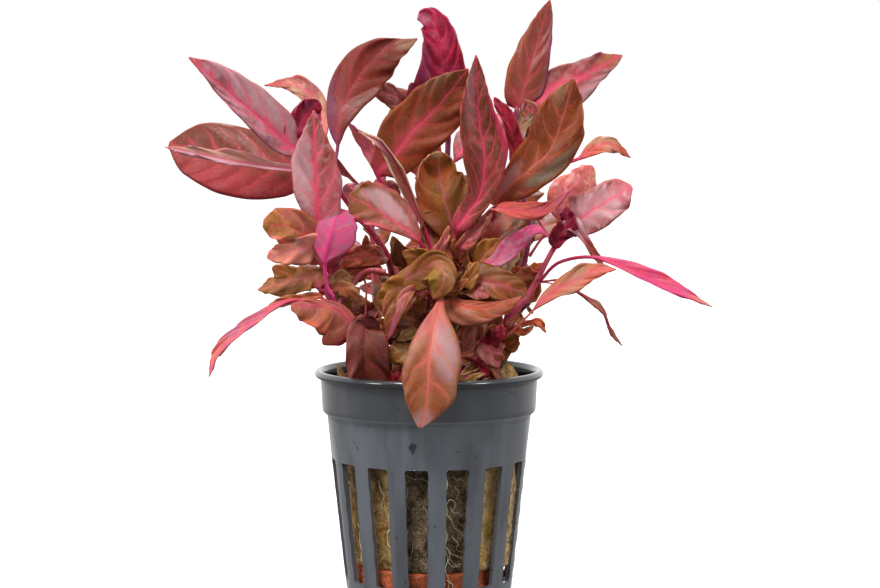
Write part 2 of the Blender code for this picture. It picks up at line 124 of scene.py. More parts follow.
class Finish:
    """A material, or a world, whose nodes are added by one method."""

    def __init__(self, name, home="materials", shader="Principled BSDF"):
        self.owner = getattr(bpy.data, home).new(name)
        self.owner.use_nodes = True
        self.tree = self.owner.node_tree
        self.shader = self.tree.nodes[shader]

    def feed(self, socket, value):
        """Links a wire to a socket, or sets the socket to a number, a colour or a place."""
        if isinstance(value, Wire):
            self.tree.links.new(value.socket, socket)
        else:
            socket.default_value = value

    def add(self, kind, settings=None, sockets=None, out=0):
        """A node of a kind: its settings come first, then the values or links of its sockets."""
        node = self.tree.nodes.new(kind)
        for key, value in (settings or {}).items():
            setattr(node, key, value)
        for key, value in (sockets or {}).items():
            self.feed(node.inputs[key], value)
        return Wire(self, node.outputs[out])

    def reckon(self, operation, *values):
        """A sum on numbers, or channel by channel if a colour or a place takes part in it."""
        wires = [value for value in values if isinstance(value, Wire)]
        if any(wire.socket.type in VECTOR_KINDS for wire in wires):
            spread = [value if isinstance(value, (Wire, tuple)) else (value,) * 3 for value in values]
            return self.add("ShaderNodeVectorMath", {"operation": operation}, dict(enumerate(spread)))
        return self.add("ShaderNodeMath", {"operation": operation}, dict(enumerate(values)))

    def step(self, value, low, high):
        """0 below low, 1 above high and a smooth rise between."""
        return self.add("ShaderNodeMapRange", {"interpolation_type": "SMOOTHSTEP"},
                        {"Value": value, "From Min": low, "From Max": high})

    def mix(self, share, first, second):
        """The first colour where share is 0 and the second where it is 1."""
        return self.add("ShaderNodeMix", {"data_type": "RGBA"}, {0: share, 6: first, 7: second}, out=2)

    def place(self):
        """Where a point of the surface is, in millimetres."""
        return self.add("ShaderNodeTexCoord", out="Object") * (1.0 / MM)

    def cloud(self, place, size, detail=2.0, rough=0.5):
        """Soft noise from 0 to 1 whose lumps are about size millimetres across."""
        return self.add("ShaderNodeTexNoise", None, {"Vector": place, "Scale": 1.0 / size,
                                                     "Detail": detail, "Roughness": rough})

    def dots(self, place, size, feature="F1"):
        """The distance to the nearest of many scattered points, which are size apart."""
        return self.add("ShaderNodeTexVoronoi", {"feature": feature},
                        {"Vector": place, "Scale": 1.0 / size}, out="Distance")

    def split(self, vector):
        """The x, y and z of a vector as three wires."""
        first = self.add("ShaderNodeSeparateXYZ", None, {0: vector})
        return [Wire(self, socket) for socket in first.socket.node.outputs]

    def lay(self, colour, *layers):
        """A colour with others laid over it in turn; each layer is a share and a colour."""
        for share, over in layers:
            colour = self.mix(share, colour, over)
        return colour

    def glossy(self):
        """The main shader as a wire, for a finish that covers a part of it with another shader."""
        return Wire(self, self.shader.outputs[0])

    def dress(self, colour, roughness, height=None, depth=0.1, strength=0.6):
        """Joins the colour, the roughness and a relief of some depth, in millimetres, to the shader."""
        self.feed(self.shader.inputs["Base Color"], colour)
        self.feed(self.shader.inputs["Roughness"], roughness)
        if height is not None:
            bump = self.add("ShaderNodeBump", None, {"Height": height, "Distance": depth * MM,
                                                     "Strength": strength})
            self.feed(self.shader.inputs["Normal"], bump)
        return self.owner

    def flesh(self, weight, spread, depth):
        """Lets light into the surface: how much, its reach in red, green and blue, and the depth."""
        self.feed(self.shader.inputs["Subsurface Weight"], weight)
        self.feed(self.shader.inputs["Subsurface Radius"], spread)
        self.feed(self.shader.inputs["Subsurface Scale"], depth * MM)


def tone(red, green, blue):
    """A colour as a screen shows it, from 0 to 255, turned into the light that it stands for."""
    light = []
    for value in (red, green, blue):
        share = value / 255.0
        light.append(share / 12.92 if share <= 0.04045 else ((share + 0.055) / 1.055) ** 2.4)
    return (*light, 1.0)


def deep(red, green, blue):
    """A plant colour: darker than it shows, because the white studio lightens every surface."""
    light = tone(red, green, blue)
    return (light[0] * DEEPER[0], light[1] * DEEPER[1], light[2] * DEEPER[2], 1.0)


print("a mid grey as light:", round(tone(128, 128, 128)[0], 3))

# %% [markdown]
# The studio
#
# The plant stands on a plain pale floor in soft light from all sides. A bright plain world gives
# the white ground of the picture and fills the shadows. A panel above and in front shapes the
# leaves, one on each side gives the pot its bright edges, and one behind lights the rear.

# %% Floor, world and lamps
WHITE = (1.0, 1.0, 1.0, 1.0)
FRONT_LIGHT = 0.22
BELOW_LIGHT = 0.3
AROUND_LIGHT = 1.2
TOP_LIGHT = 1.0
FLOOR_HALF = 6.0
FLOOR_GLOW = 0.45
# Each panel: where it hangs, how wide it is, and its power.
LAMPS = {
    "panel_above": ((-0.25, -0.45, 0.9), 0.3, 8.0),
    "panel_left": ((-0.75, -0.5, 0.35), 0.2, 2.1),
    "panel_right": ((0.75, -0.5, 0.45), 0.2, 2.1),
    "panel_back": ((0.1, 0.7, 0.8), 0.35, 3.0),
}
LAMP_AIM = Vector((0.0, 0.0, 0.07))


def build_floor():
    """A pale floor that glows a little and casts no light on the pot."""
    bpy.ops.mesh.primitive_plane_add(size=2 * FLOOR_HALF)
    floor = bpy.context.object
    floor.name = "studio_floor"
    finish = Finish("pale_floor")
    finish.feed(finish.shader.inputs["Emission Color"], WHITE)
    finish.feed(finish.shader.inputs["Emission Strength"], FLOOR_GLOW)
    floor.data.materials.append(finish.dress(tone(222, 222, 222), 0.9))
    floor.visible_diffuse = False
    floor.visible_glossy = False


def build_lamps():
    """Square panels of light, all turned to the middle of the plant."""
    for name, (place, size, power) in LAMPS.items():
        lamp = bpy.data.lights.new(name, "AREA")
        lamp.shape = "SQUARE"
        lamp.size = size
        lamp.energy = power
        item = bpy.data.objects.new(name, lamp)
        item.location = place
        item.rotation_euler = (LAMP_AIM - item.location).to_track_quat("-Z", "Y").to_euler()
        bpy.context.scene.collection.objects.link(item)


def build_world():
    """White to the eye; as a light it is dimmer from the front and from below."""
    studio = Finish("studio_world", "worlds", "Background")
    _, depth, rise = studio.split(studio.add("ShaderNodeTexCoord", out="Generated"))
    front = studio.step(depth * -1.0, -0.35, 0.75)
    above = studio.step(rise, 0.15, 0.85)
    below = studio.step(rise * -1.0, -0.05, 0.3)
    level = AROUND_LIGHT - front * (AROUND_LIGHT - FRONT_LIGHT)
    light = (level * (1 - above) + above * TOP_LIGHT) * (1 - below) + below * BELOW_LIGHT
    seen = studio.add("ShaderNodeLightPath", out="Is Camera Ray")
    studio.feed(studio.shader.inputs["Strength"], seen + (1 - seen) * light)
    studio.feed(studio.shader.inputs["Color"], WHITE)
    return studio.owner


build_floor()
build_lamps()
bpy.context.scene.world = build_world()
bpy.context.scene.view_settings.view_transform = "Standard"
print("lamps:", ", ".join(LAMPS))

# %% [markdown]
# Turning points and faces into pieces
#
# Every piece is worked out as an array of points in millimetres with a list of faces, so one
# short function makes the mesh, shades it smooth, gives it its finish and lets it ride on the
# frame. A second one follows a smooth curve through a few points, as a stem or midrib does.

# %% Helpers for every piece
BODY = "root"


def make_piece(name, points, faces, material, slot, nodes=()):
    """A smooth mesh with its finish, which rides on the frame in place of the named nodes."""
    mesh = bpy.data.meshes.new(name)
    mesh.from_pydata((np.asarray(points) * MM).tolist(), [], [tuple(face) for face in faces])
    mesh.update()
    mesh.shade_smooth()
    mesh.materials.append(material)
    item = bpy.data.objects.new(name, mesh)
    bpy.context.scene.collection.objects.link(item)
    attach(item, BODY)
    if nodes:
        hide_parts(*nodes)
    return item


def smooth_path(points, count, samples=60):
    """Evenly spaced points along a smooth curve through the given ones."""
    points = np.array(points, float)
    ends = np.vstack([2 * points[0] - points[1], points, 2 * points[-1] - points[-2]])
    t = np.linspace(0.0, 1.0, samples, endpoint=False)[:, None]
    fine = [0.5 * (2 * b + (c - a) * t + (2 * a - 5 * b + 4 * c - d) * t ** 2
                   + (3 * b - a - 3 * c + d) * t ** 3)
            for a, b, c, d in zip(ends, ends[1:], ends[2:], ends[3:])]
    fine = np.vstack(fine + [points[-1:]])
    lengths = np.concatenate([[0.0], np.cumsum(np.linalg.norm(np.diff(fine, axis=0), axis=1))])
    goals = np.linspace(0.0, lengths[-1], count)
    return np.stack([np.interp(goals, lengths, fine[:, axis]) for axis in range(3)], axis=1)


def unit(vectors):
    """The same directions, each one long."""
    return vectors / np.maximum(np.linalg.norm(vectors, axis=-1, keepdims=True), 1e-9)


def grid_faces(rows, columns, ring=False):
    """Four-sided faces between rows of points; a ring joins the last column to the first."""
    last = columns if ring else columns - 1
    return [(r * columns + c, r * columns + (c + 1) % columns,
             (r + 1) * columns + (c + 1) % columns, (r + 1) * columns + c)
            for r in range(rows - 1) for c in range(last)]


def tube(path, radii, sides):
    """Points and faces of a closed tube along a path, with a radius at each point."""
    path = np.asarray(path, float)
    run = unit(np.gradient(path, axis=0))
    spare = np.where(np.abs(run[:, 2:]) < 0.9, [[0.0, 0.0, 1.0]], [[1.0, 0.0, 0.0]])
    spare = spare[len(path) // 2] + 0.0 * run
    right = unit(np.cross(run, spare))
    up = np.cross(right, run)
    turn = np.arange(sides) * 2 * math.pi / sides
    ring = (right[:, None] * np.cos(turn)[None, :, None] + up[:, None] * np.sin(turn)[None, :, None])
    points = path[:, None] + ring * np.asarray(radii, float).reshape(len(path), -1, 1)
    faces = grid_faces(len(path), sides, ring=True)
    final = (len(path) - 1) * sides
    faces.append(tuple(range(sides))[::-1])
    faces.append(tuple(final + side for side in range(sides)))
    return points.reshape(-1, 3), faces


def joined(shapes):
    """Several shapes of points and faces as one."""
    points, faces, start = [], [], 0
    for some_points, some_faces in shapes:
        points.append(some_points)
        faces += [tuple(start + index for index in face) for face in some_faces]
        start += len(some_points)
    return np.vstack(points), faces


def wander(place, size, seed=0.0):
    """Smooth noise from -1 to 1 at one point, with lumps of a size in millimetres."""
    return noise.noise(Vector(place) / size + Vector((seed, 2.3 * seed, -seed)))


print("a test path has", len(smooth_path([(0, 0, 0), (0, 1, 1), (0, 3, 1)], 5)), "points")

# %% [markdown]
# The net pot
#
# The pot is one thin moulding: a tapered cup with a wide band at its mouth, a rolled rim, and a
# ring of upright slots. A Boolean cut leaves long thin faces that shade badly. So the wall is
# woven as a grid whose columns follow the slots' edges, and the faces in the slots are left out.

# %% The pot's section, from the middle of its underside round the rim to the middle of its floor
POT_HEIGHT = 51.0
WALL = 1.0
FLOOR = 1.2
FOOT_RADIUS = 18.0
BODY_FOOT = (19.1, 1.4)
BODY_TOP = (23.4, 40.5)
BAND_FOOT = (24.5, 41.9)
BAND_TOP = (24.85, 48.5)
BEAD_RADIUS = 0.92
BEAD_CENTRE = (25.28, 50.06)
SLOT_COUNT = 15
SLOT_TURN = -7.0
SLOT_FOOT, SLOT_TOP = 3.0, 30.8
SLOT_WIDTH_FOOT, SLOT_WIDTH_TOP = 4.3, 5.3
SLOT_CORNER = 0.55
SLOT_HEIGHTS = ([SLOT_FOOT, SLOT_FOOT + 0.08, SLOT_FOOT + 0.26, SLOT_FOOT + SLOT_CORNER]
                + list(np.linspace(SLOT_FOOT + 1.5, SLOT_TOP - 1.5, 18))
                + [SLOT_TOP - SLOT_CORNER, SLOT_TOP - 0.26, SLOT_TOP - 0.08, SLOT_TOP])


def body_radius(height):
    """The outer radius of the slotted wall."""
    share = (height - BODY_FOOT[1]) / (BODY_TOP[1] - BODY_FOOT[1])
    return BODY_FOOT[0] + (BODY_TOP[0] - BODY_FOOT[0]) * share


def pot_outside():
    """From the middle of the underside up the wall, over the step and band, and round the bead."""
    rows = [(radius, 0.0) for radius in (5.0, 11.0, 16.0, FOOT_RADIUS)]
    rows += [(18.5, 0.1), (18.85, 0.4), (19.03, 0.85), BODY_FOOT, (body_radius(2.2), 2.2)]
    rows += [(body_radius(height), height) for height in SLOT_HEIGHTS]
    rows += [(body_radius(height), height) for height in (31.6, 33.0, 35.0, 37.0, 38.8, 40.0)]
    rows += [BODY_TOP, (23.5, 40.8), (23.75, 41.05), (24.1, 41.25), (24.37, 41.5), BAND_FOOT]
    rows += [(24.56, 43.0), (24.64, 44.6), (24.74, 46.4), (24.82, 47.8), BAND_TOP, (24.92, 48.85)]
    for turn in range(-110, 131, 16):
        angle = math.radians(turn)
        rows.append((BEAD_CENTRE[0] + BEAD_RADIUS * math.cos(angle),
                     BEAD_CENTRE[1] + BEAD_RADIUS * math.sin(angle)))
    return rows


def pot_inside():
    """From under the bead down the inside to the floor."""
    rows = [(24.35, 50.2), (24.1, 49.5), (23.92, 48.8), (23.8, 47.6), (23.65, 45.4), (23.52, 43.2)]
    rows += [(23.42, 42.0), (23.05, 41.3), (22.62, 40.8), (22.34, 40.2)]
    rows += [(body_radius(height) - WALL, height) for height in (38.5, 36.5, 34.5, 32.5, 31.4)]
    rows += [(body_radius(height) - WALL, height) for height in reversed(SLOT_HEIGHTS)]
    rows += [(body_radius(2.2) - WALL, 2.2), (17.85, 1.6), (17.3, 1.3), (16.6, FLOOR), (10.0, FLOOR),
             (4.0, FLOOR)]
    return rows


print("rows outside and inside:", len(pot_outside()), len(pot_inside()))

# %% [markdown]
# The grid has one ring of points for each row of the section. Its columns are closer at a slot,
# where they keep to its upright edges and round corners. Short faces then line every slot from
# the outer wall to the inner one, and two fans close the underside and the floor.

# %% Weave the pot's wall
SLOT_COLUMNS = (-1.0, -0.6, -0.2, 0.2, 0.6, 1.0)
BAR_COLUMNS = 7
FLUTE_DEPTH, FLUTE_MIDDLE, FLUTE_REACH = 0.13, 18.0, 21.0


def slot_half(height):
    """Half the slot's width at a height, less near its rounded corners."""
    inside = min(max(height, SLOT_FOOT), SLOT_TOP)
    share = (inside - SLOT_FOOT) / (SLOT_TOP - SLOT_FOOT)
    half = 0.5 * (SLOT_WIDTH_FOOT + (SLOT_WIDTH_TOP - SLOT_WIDTH_FOOT) * share)
    reach = min(inside - SLOT_FOOT, SLOT_TOP - inside, SLOT_CORNER)
    return half - SLOT_CORNER + math.sqrt(SLOT_CORNER ** 2 - (SLOT_CORNER - reach) ** 2)


def pot_row(radius, height):
    """One ring of points, whose columns keep to the slots' upright edges."""
    half = min(slot_half(height), 0.75 * radius * math.pi / SLOT_COUNT)
    pitch = 2 * math.pi / SLOT_COUNT
    row = []
    for number in range(SLOT_COUNT):
        middle = math.radians(SLOT_TURN) + number * pitch
        turns = [middle + math.asin(share * half / radius) for share in SLOT_COLUMNS]
        free = pitch - 2 * math.asin(half / radius)
        turns += [turns[-1] + free * (step + 1) / (BAR_COLUMNS + 1) for step in range(BAR_COLUMNS)]
        for turn in turns:
            flute = FLUTE_DEPTH * math.cos(SLOT_COUNT * (turn - math.radians(SLOT_TURN)))
            fade = max(0.0, 1.0 - abs(height - FLUTE_MIDDLE) / FLUTE_REACH)
            reach = radius - (flute * min(1.0, 2.5 * fade) if radius > 12.0 else 0.0)
            row.append((reach * math.sin(turn), -reach * math.cos(turn), height))
    return row


def weave_pot():
    """All points and faces of the pot: the wall with its openings, the slots' sides, the two ends."""
    outside, inside = pot_outside(), pot_inside()
    rows = outside + inside
    sector = len(SLOT_COLUMNS) + BAR_COLUMNS
    columns = SLOT_COUNT * sector
    points = [point for row in rows for point in pot_row(*row)]
    heights = [row[1] for row in rows]
    open_rows = {r for r in range(len(rows) - 1)
                 if abs(rows[r][0] - rows[r + 1][0]) < 1.0
                 and SLOT_FOOT <= min(heights[r], heights[r + 1])
                 and max(heights[r], heights[r + 1]) <= SLOT_TOP}
    faces = []
    for index, face in enumerate(grid_faces(len(rows), columns, ring=True)):
        r, c = divmod(index, columns)
        if r in open_rows and c % sector < len(SLOT_COLUMNS) - 1:
            continue
        faces.append(face)
    out_first = outside.index((body_radius(SLOT_FOOT), SLOT_FOOT))
    in_last = len(outside) + inside.index((body_radius(SLOT_FOOT) - WALL, SLOT_FOOT))
    span = len(SLOT_HEIGHTS) - 1
    for number in range(SLOT_COUNT):
        left = number * sector
        right = left + len(SLOT_COLUMNS) - 1
        for step in range(span):
            low, high = (out_first + step) * columns, (out_first + step + 1) * columns
            back_low, back_high = (in_last - step) * columns, (in_last - step - 1) * columns
            faces.append((low + left, high + left, back_high + left, back_low + left))
            faces.append((high + right, low + right, back_low + right, back_high + right))
        for c in range(left, right):
            foot, back = out_first * columns, in_last * columns
            faces.append((foot + c + 1, foot + c, back + c, back + c + 1))
            top, back_top = (out_first + span) * columns, (in_last - span) * columns
            faces.append((top + c, top + c + 1, back_top + c + 1, back_top + c))
    points += [(0.0, 0.0, 0.0), (0.0, 0.0, FLOOR)]
    under, floor = len(points) - 2, len(points) - 1
    last = (len(rows) - 1) * columns
    for c in range(columns):
        ahead = (c + 1) % columns
        faces.append((c, under, ahead))
        faces.append((last + c, last + ahead, floor))
    return points, faces


POT_POINTS, POT_FACES = weave_pot()
print("pot points and faces:", len(POT_POINTS), len(POT_FACES))

# %% [markdown]
# Moulded plastic
#
# The pot is recycled plastic, dark blue-grey and slightly glossy. In the picture it carries a
# cloudy film of dried water, dark specks, a few scratches and a smudge in front. All of them are
# colour and gloss on one shell, so they are masks in the finish and not shapes.

# %% The pot's finish
SMUDGE = (-3.5, 36.2)
SCRATCH = (-16.3, 35.5)
WET_PATCH = (20.9, 47.4)
MARK_DARK = tone(24, 25, 28)
INNER_REACH = 24.25
INSIDE_SHADE = 0.85
COAT_WEIGHT, COAT_ROUGHNESS = 0.6, 0.1
EDGE_SOFTNESS, EDGE_ANGLE = 0.14, 42.0


def plastic():
    """The inside of the mouth lies in shade, so a plain dull dark covers the gloss there."""
    finish = Finish("net_pot_plastic")
    place = finish.place()
    x, y, z = finish.split(place)
    front = 1 - finish.step(y, -16.0, -12.0)
    # The film of dried water, the grain, the mould's upright streaks, and upright bands of painted
    # reflection.
    film = finish.cloud(place * (1.0, 1.0, 0.35), 9.0, 4.0, 0.55)
    grain = finish.cloud(place, 0.5, 3.0, 0.6)
    streaks = finish.cloud(place * (1.0, 1.0, 0.08), 1.1, 2.0)
    painted_reflection_bands = finish.cloud(place * (1.0, 1.0, 0.04), 4.5, 1.0)
    # Marks: specks and lint all round, and a smudge, a scratch and a wet patch in front.
    specks = 1 - finish.step(finish.dots(place * (1.0, 1.0, 0.7), 2.3), 0.07, 0.12)
    specks = specks * finish.step(finish.cloud(place, 7.0), 0.46, 0.54)
    lint = 1 - finish.step(finish.dots(place * (0.35, 0.35, 1.3) + 4.0, 1.9), 0.03, 0.07)
    lint = lint * finish.step(finish.cloud(place + 9.0, 6.0), 0.5, 0.6)
    dx, dz = abs(x - SMUDGE[0]), z - SMUDGE[1]
    ragged = finish.cloud(place, 0.8, 3.0) * 1.6
    smudge = (1 - finish.step(dx * 1.2 + abs(dz) * 0.9 + dz * 0.3 + ragged, 1.75, 2.1)) * front
    slant = abs((x - SCRATCH[0]) + 0.62 * (z - SCRATCH[1]))
    scratch = (1 - finish.step(slant, 0.05, 0.14)) * (1 - finish.step(abs(z - SCRATCH[1]), 1.1, 1.5))
    scratch = scratch * front * finish.step(finish.cloud(place, 0.9), 0.35, 0.5)
    wet = 1 - finish.step(abs(x - WET_PATCH[0]) * 0.35 + abs(z - WET_PATCH[1]) * 0.55, 0.8, 1.7)
    wet = wet * finish.step(finish.cloud(place * (1.0, 1.0, 2.6), 1.5, 3.0), 0.5, 0.62) * front
    # Parts of the pot that differ in tone: the band, the ledge under it with a painted highlight,
    # the rim darkened as painted shade, and the inside, covered with painted shade.
    band = finish.step(z, 41.2, 42.0)
    painted_ledge_highlight = finish.step(z, 40.8, 41.15) * (1 - finish.step(z, 41.5, 41.85))
    rim = finish.step(z, 49.0, 49.4)
    reach = (x * x + y * y) ** 0.5
    inside = (1 - finish.step(reach, INNER_REACH - 0.1, INNER_REACH + 0.1)) * (z > 41.5)
    colour = finish.lay(
        tone(73, 76, 81),
        (finish.step(film, 0.3, 0.75), tone(100, 104, 112)),
        # Broad upright bands of painted reflection.
        (finish.step(painted_reflection_bands, 0.42, 0.62) * 0.5, tone(104, 108, 116)),
        (finish.step(streaks, 0.5, 0.85) * 0.18, tone(104, 107, 114)),
        (lint * 0.3, tone(150, 152, 156)),
        (band * 0.7, tone(50, 51, 54)),
        # A painted highlight along the ledge.
        (painted_ledge_highlight * 0.25, tone(150, 154, 160)),
        # The rim darkened as painted shade.
        (rim * 0.9, tone(34, 36, 39)),
        (specks * 0.85, MARK_DARK),
        (smudge * 0.85, MARK_DARK),
        (scratch, tone(22, 23, 26)),
        (wet * 0.8, tone(30, 31, 34)))
    roughness = 0.15 + finish.step(film, 0.25, 0.8) * 0.12 - wet * 0.1 + specks * 0.2
    height = grain * 0.2 + film * 0.8 + streaks * 0.2 - scratch * 0.6
    finish.feed(finish.shader.inputs["Coat Weight"], COAT_WEIGHT)
    finish.feed(finish.shader.inputs["Coat Roughness"], COAT_ROUGHNESS)
    finish.dress(colour, roughness, height, depth=0.05)
    shade = finish.add("ShaderNodeBsdfDiffuse", None, {"Color": tone(14, 14, 16)})
    both = finish.add("ShaderNodeMixShader", None, {0: inside * INSIDE_SHADE, 1: finish.glossy(), 2: shade})
    finish.feed(finish.tree.nodes["Material Output"].inputs[0], both)
    return finish.owner


def build_pot():
    """The pot, with edges softened as a mould leaves them."""
    pot = make_piece("pot", POT_POINTS, POT_FACES, plastic(), "pot_plastic", ["net_pot"])
    soften = pot.modifiers.new("soft_edges", "BEVEL")
    soften.width = EDGE_SOFTNESS * MM
    soften.segments = 2
    soften.limit_method = "ANGLE"
    soften.angle_limit = math.radians(EDGE_ANGLE)
    even = pot.modifiers.new("even_shading", "WEIGHTED_NORMAL")
    even.keep_sharp = True


build_pot()
print("pot made")

# %% [markdown]
# What fills the pot
#
# The plant roots in a plug of rock wool that stands on a disc of fired clay. The wool is matted
# glass-fine fibre: a lumpy body with strands lying over it. The body is a turned form pushed in
# and out by noise at several sizes, and the strands are short thin tubes joined into one mesh.

# %% The clay disc and the wool's body
CLAY_RADIUS, CLAY_FOOT, CLAY_TOP = 17.0, 1.6, 6.5
WOOL_FOOT, WOOL_TOP = 6.3, 48.2
WOOL_FOOT_RADIUS, WOOL_TOP_RADIUS = 16.6, 19.7
# Each bulge: its bearing in degrees, its spread, how far it stands out, and its lower end.
BULGES = ((80.0, 28.0, 2.8, 0.0), (-74.0, 15.0, 2.0, 44.0))
# Each lump on top: where it is, how high it stands and its reach.
WOOL_LUMPS = ((16.4, -8.5, 5.4, 3.6), (-19.4, -5.0, 6.2, 3.0), (3.0, -14.0, 0.8, 4.0))


def outward(spot):
    """The level direction from the pot's middle to a point."""
    return Vector((spot.x, spot.y, 0.0)).normalized()


def turned(profile, columns, push):
    """A profile of (radius, height) rows turned about Z; push moves each point out from the middle."""
    points = []
    for radius, height in profile:
        for column in range(columns):
            turn = 2 * math.pi * column / columns
            spot = Vector((radius * math.sin(turn), -radius * math.cos(turn), height))
            points.append(push(spot, radius))
    faces = grid_faces(len(profile), columns, ring=True)
    last = (len(profile) - 1) * columns
    faces.append(tuple(range(columns))[::-1])
    faces.append(tuple(last + column for column in range(columns)))
    return points, faces


def clay_push(spot, radius):
    """Small crumbs all over, and an uneven top."""
    away = outward(spot) if radius > 1.0 else Vector((0, 0, 0))
    amount = 0.35 * wander(spot, 3.0, 1.0) + 0.2 * wander(spot, 1.1, 2.0) + 0.1 * wander(spot, 0.5, 3.0)
    rise = Vector((0, 0, 0.25 * wander(spot, 1.6, 4.0))) if spot.z > CLAY_TOP - 0.5 else Vector((0, 0, 0))
    return spot + away * amount + rise


def wool_radius(height):
    """The radius of the plain tapered plug."""
    share = (height - WOOL_FOOT) / (WOOL_TOP - WOOL_FOOT)
    return WOOL_FOOT_RADIUS + (WOOL_TOP_RADIUS - WOOL_FOOT_RADIUS) * share


def wool_bulge(spot):
    """The plug leans against the wall on its right, and a tuft swells its upper left."""
    turn = math.degrees(math.atan2(spot.x, -spot.y))
    total = 0.0
    for middle, reach, amount, foot in BULGES:
        risen = min(max((spot.z - foot) / 3.0, 0.0), 1.0)
        total += amount * math.exp(-((turn - middle) / reach) ** 2) * risen
    return total


def wool_push(spot, radius):
    """Lumps at four sizes, a ragged top that falls away at its edge, and the bulges."""
    away = outward(spot) if radius > 1.0 else Vector((0, 0, 0))
    amount = (0.75 * wander(spot, 6.0, 5.0) + 0.4 * wander(spot, 2.2, 6.0) + 0.22 * wander(spot, 0.9, 7.0)
              + 0.2 * wander(spot, 0.5, 8.0))
    rise = Vector((0, 0, 0))
    if spot.z > WOOL_TOP - 1.5:
        rise.z = (0.9 * wander(spot, 4.5, 9.0) + 0.55 * wander(spot, 1.6, 10.0)
                  + 0.2 * wander(spot, 0.7, 11.0))
        rise.z -= 0.8 * max(0.0, radius - 15.0) / 4.0
        for x, y, height, reach in WOOL_LUMPS:
            rise.z += height * math.exp(-((spot.x - x) ** 2 + (spot.y - y) ** 2) / reach ** 2)
    amount += wool_bulge(spot)
    return spot + away * amount * min(1.0, radius / 8.0) + rise


def clay_profile():
    rows = [(radius, CLAY_FOOT) for radius in (1.0, 8.0, 14.0, CLAY_RADIUS - 0.4)]
    rows += [(CLAY_RADIUS, height) for height in np.linspace(CLAY_FOOT + 0.3, CLAY_TOP - 0.4, 14)]
    rows += [(CLAY_RADIUS - 0.5, CLAY_TOP)] + [(radius, CLAY_TOP) for radius in (14.0, 8.0, 1.0)]
    return rows


def wool_profile():
    rows = [(radius, WOOL_FOOT) for radius in (1.0, 8.0, 14.0, WOOL_FOOT_RADIUS - 0.6)]
    rows += [(wool_radius(height), height) for height in np.linspace(WOOL_FOOT + 0.5, WOOL_TOP - 1.3, 90)]
    rows += [(WOOL_TOP_RADIUS - 0.25, WOOL_TOP - 0.75), (WOOL_TOP_RADIUS - 0.7, WOOL_TOP - 0.25)]
    rows += [(radius, WOOL_TOP) for radius in np.linspace(WOOL_TOP_RADIUS - 1.3, 1.0, 30)]
    return rows


CLAY_SHAPE = turned(clay_profile(), 150, clay_push)
WOOL_SHAPE = turned(wool_profile(), 220, wool_push)
print("clay and wool points:", len(CLAY_SHAPE[0]), len(WOOL_SHAPE[0]))

# %% [markdown]
# The wool's finish is golden beige, with pits darkened as painted shade in the hollows of the
# mat. It is stained dark behind the two front slots, where the roots are. Its right side is
# painted lighter as painted light, and a seam of golden flock runs down it there. The clay is
# orange with soot, and its pores are darkened as painted shade. The strands share the wool's
# colours, so they read as the same stuff.

# %% Finishes of wool, strands and clay
# Each pair is where a change of tone begins and ends.
STAIN_LEFT, STAIN_RIGHT, STAIN_TOP = (-6.6, -5.8), (8.2, 9.0), (30.0, 34.0)
# The right side is painted lighter, as painted light, within these bounds.
PAINTED_LIGHT_X, PAINTED_LIGHT_TOP = (8.0, 10.5), (32.0, 38.0)
SEAM_X, SEAM_HEIGHT = 13.2, 16.0
# How dark the pits are: painted shade in the hollows of the mat.
PIT_SHADE = 0.62
STRAND_LIFT = 0.35


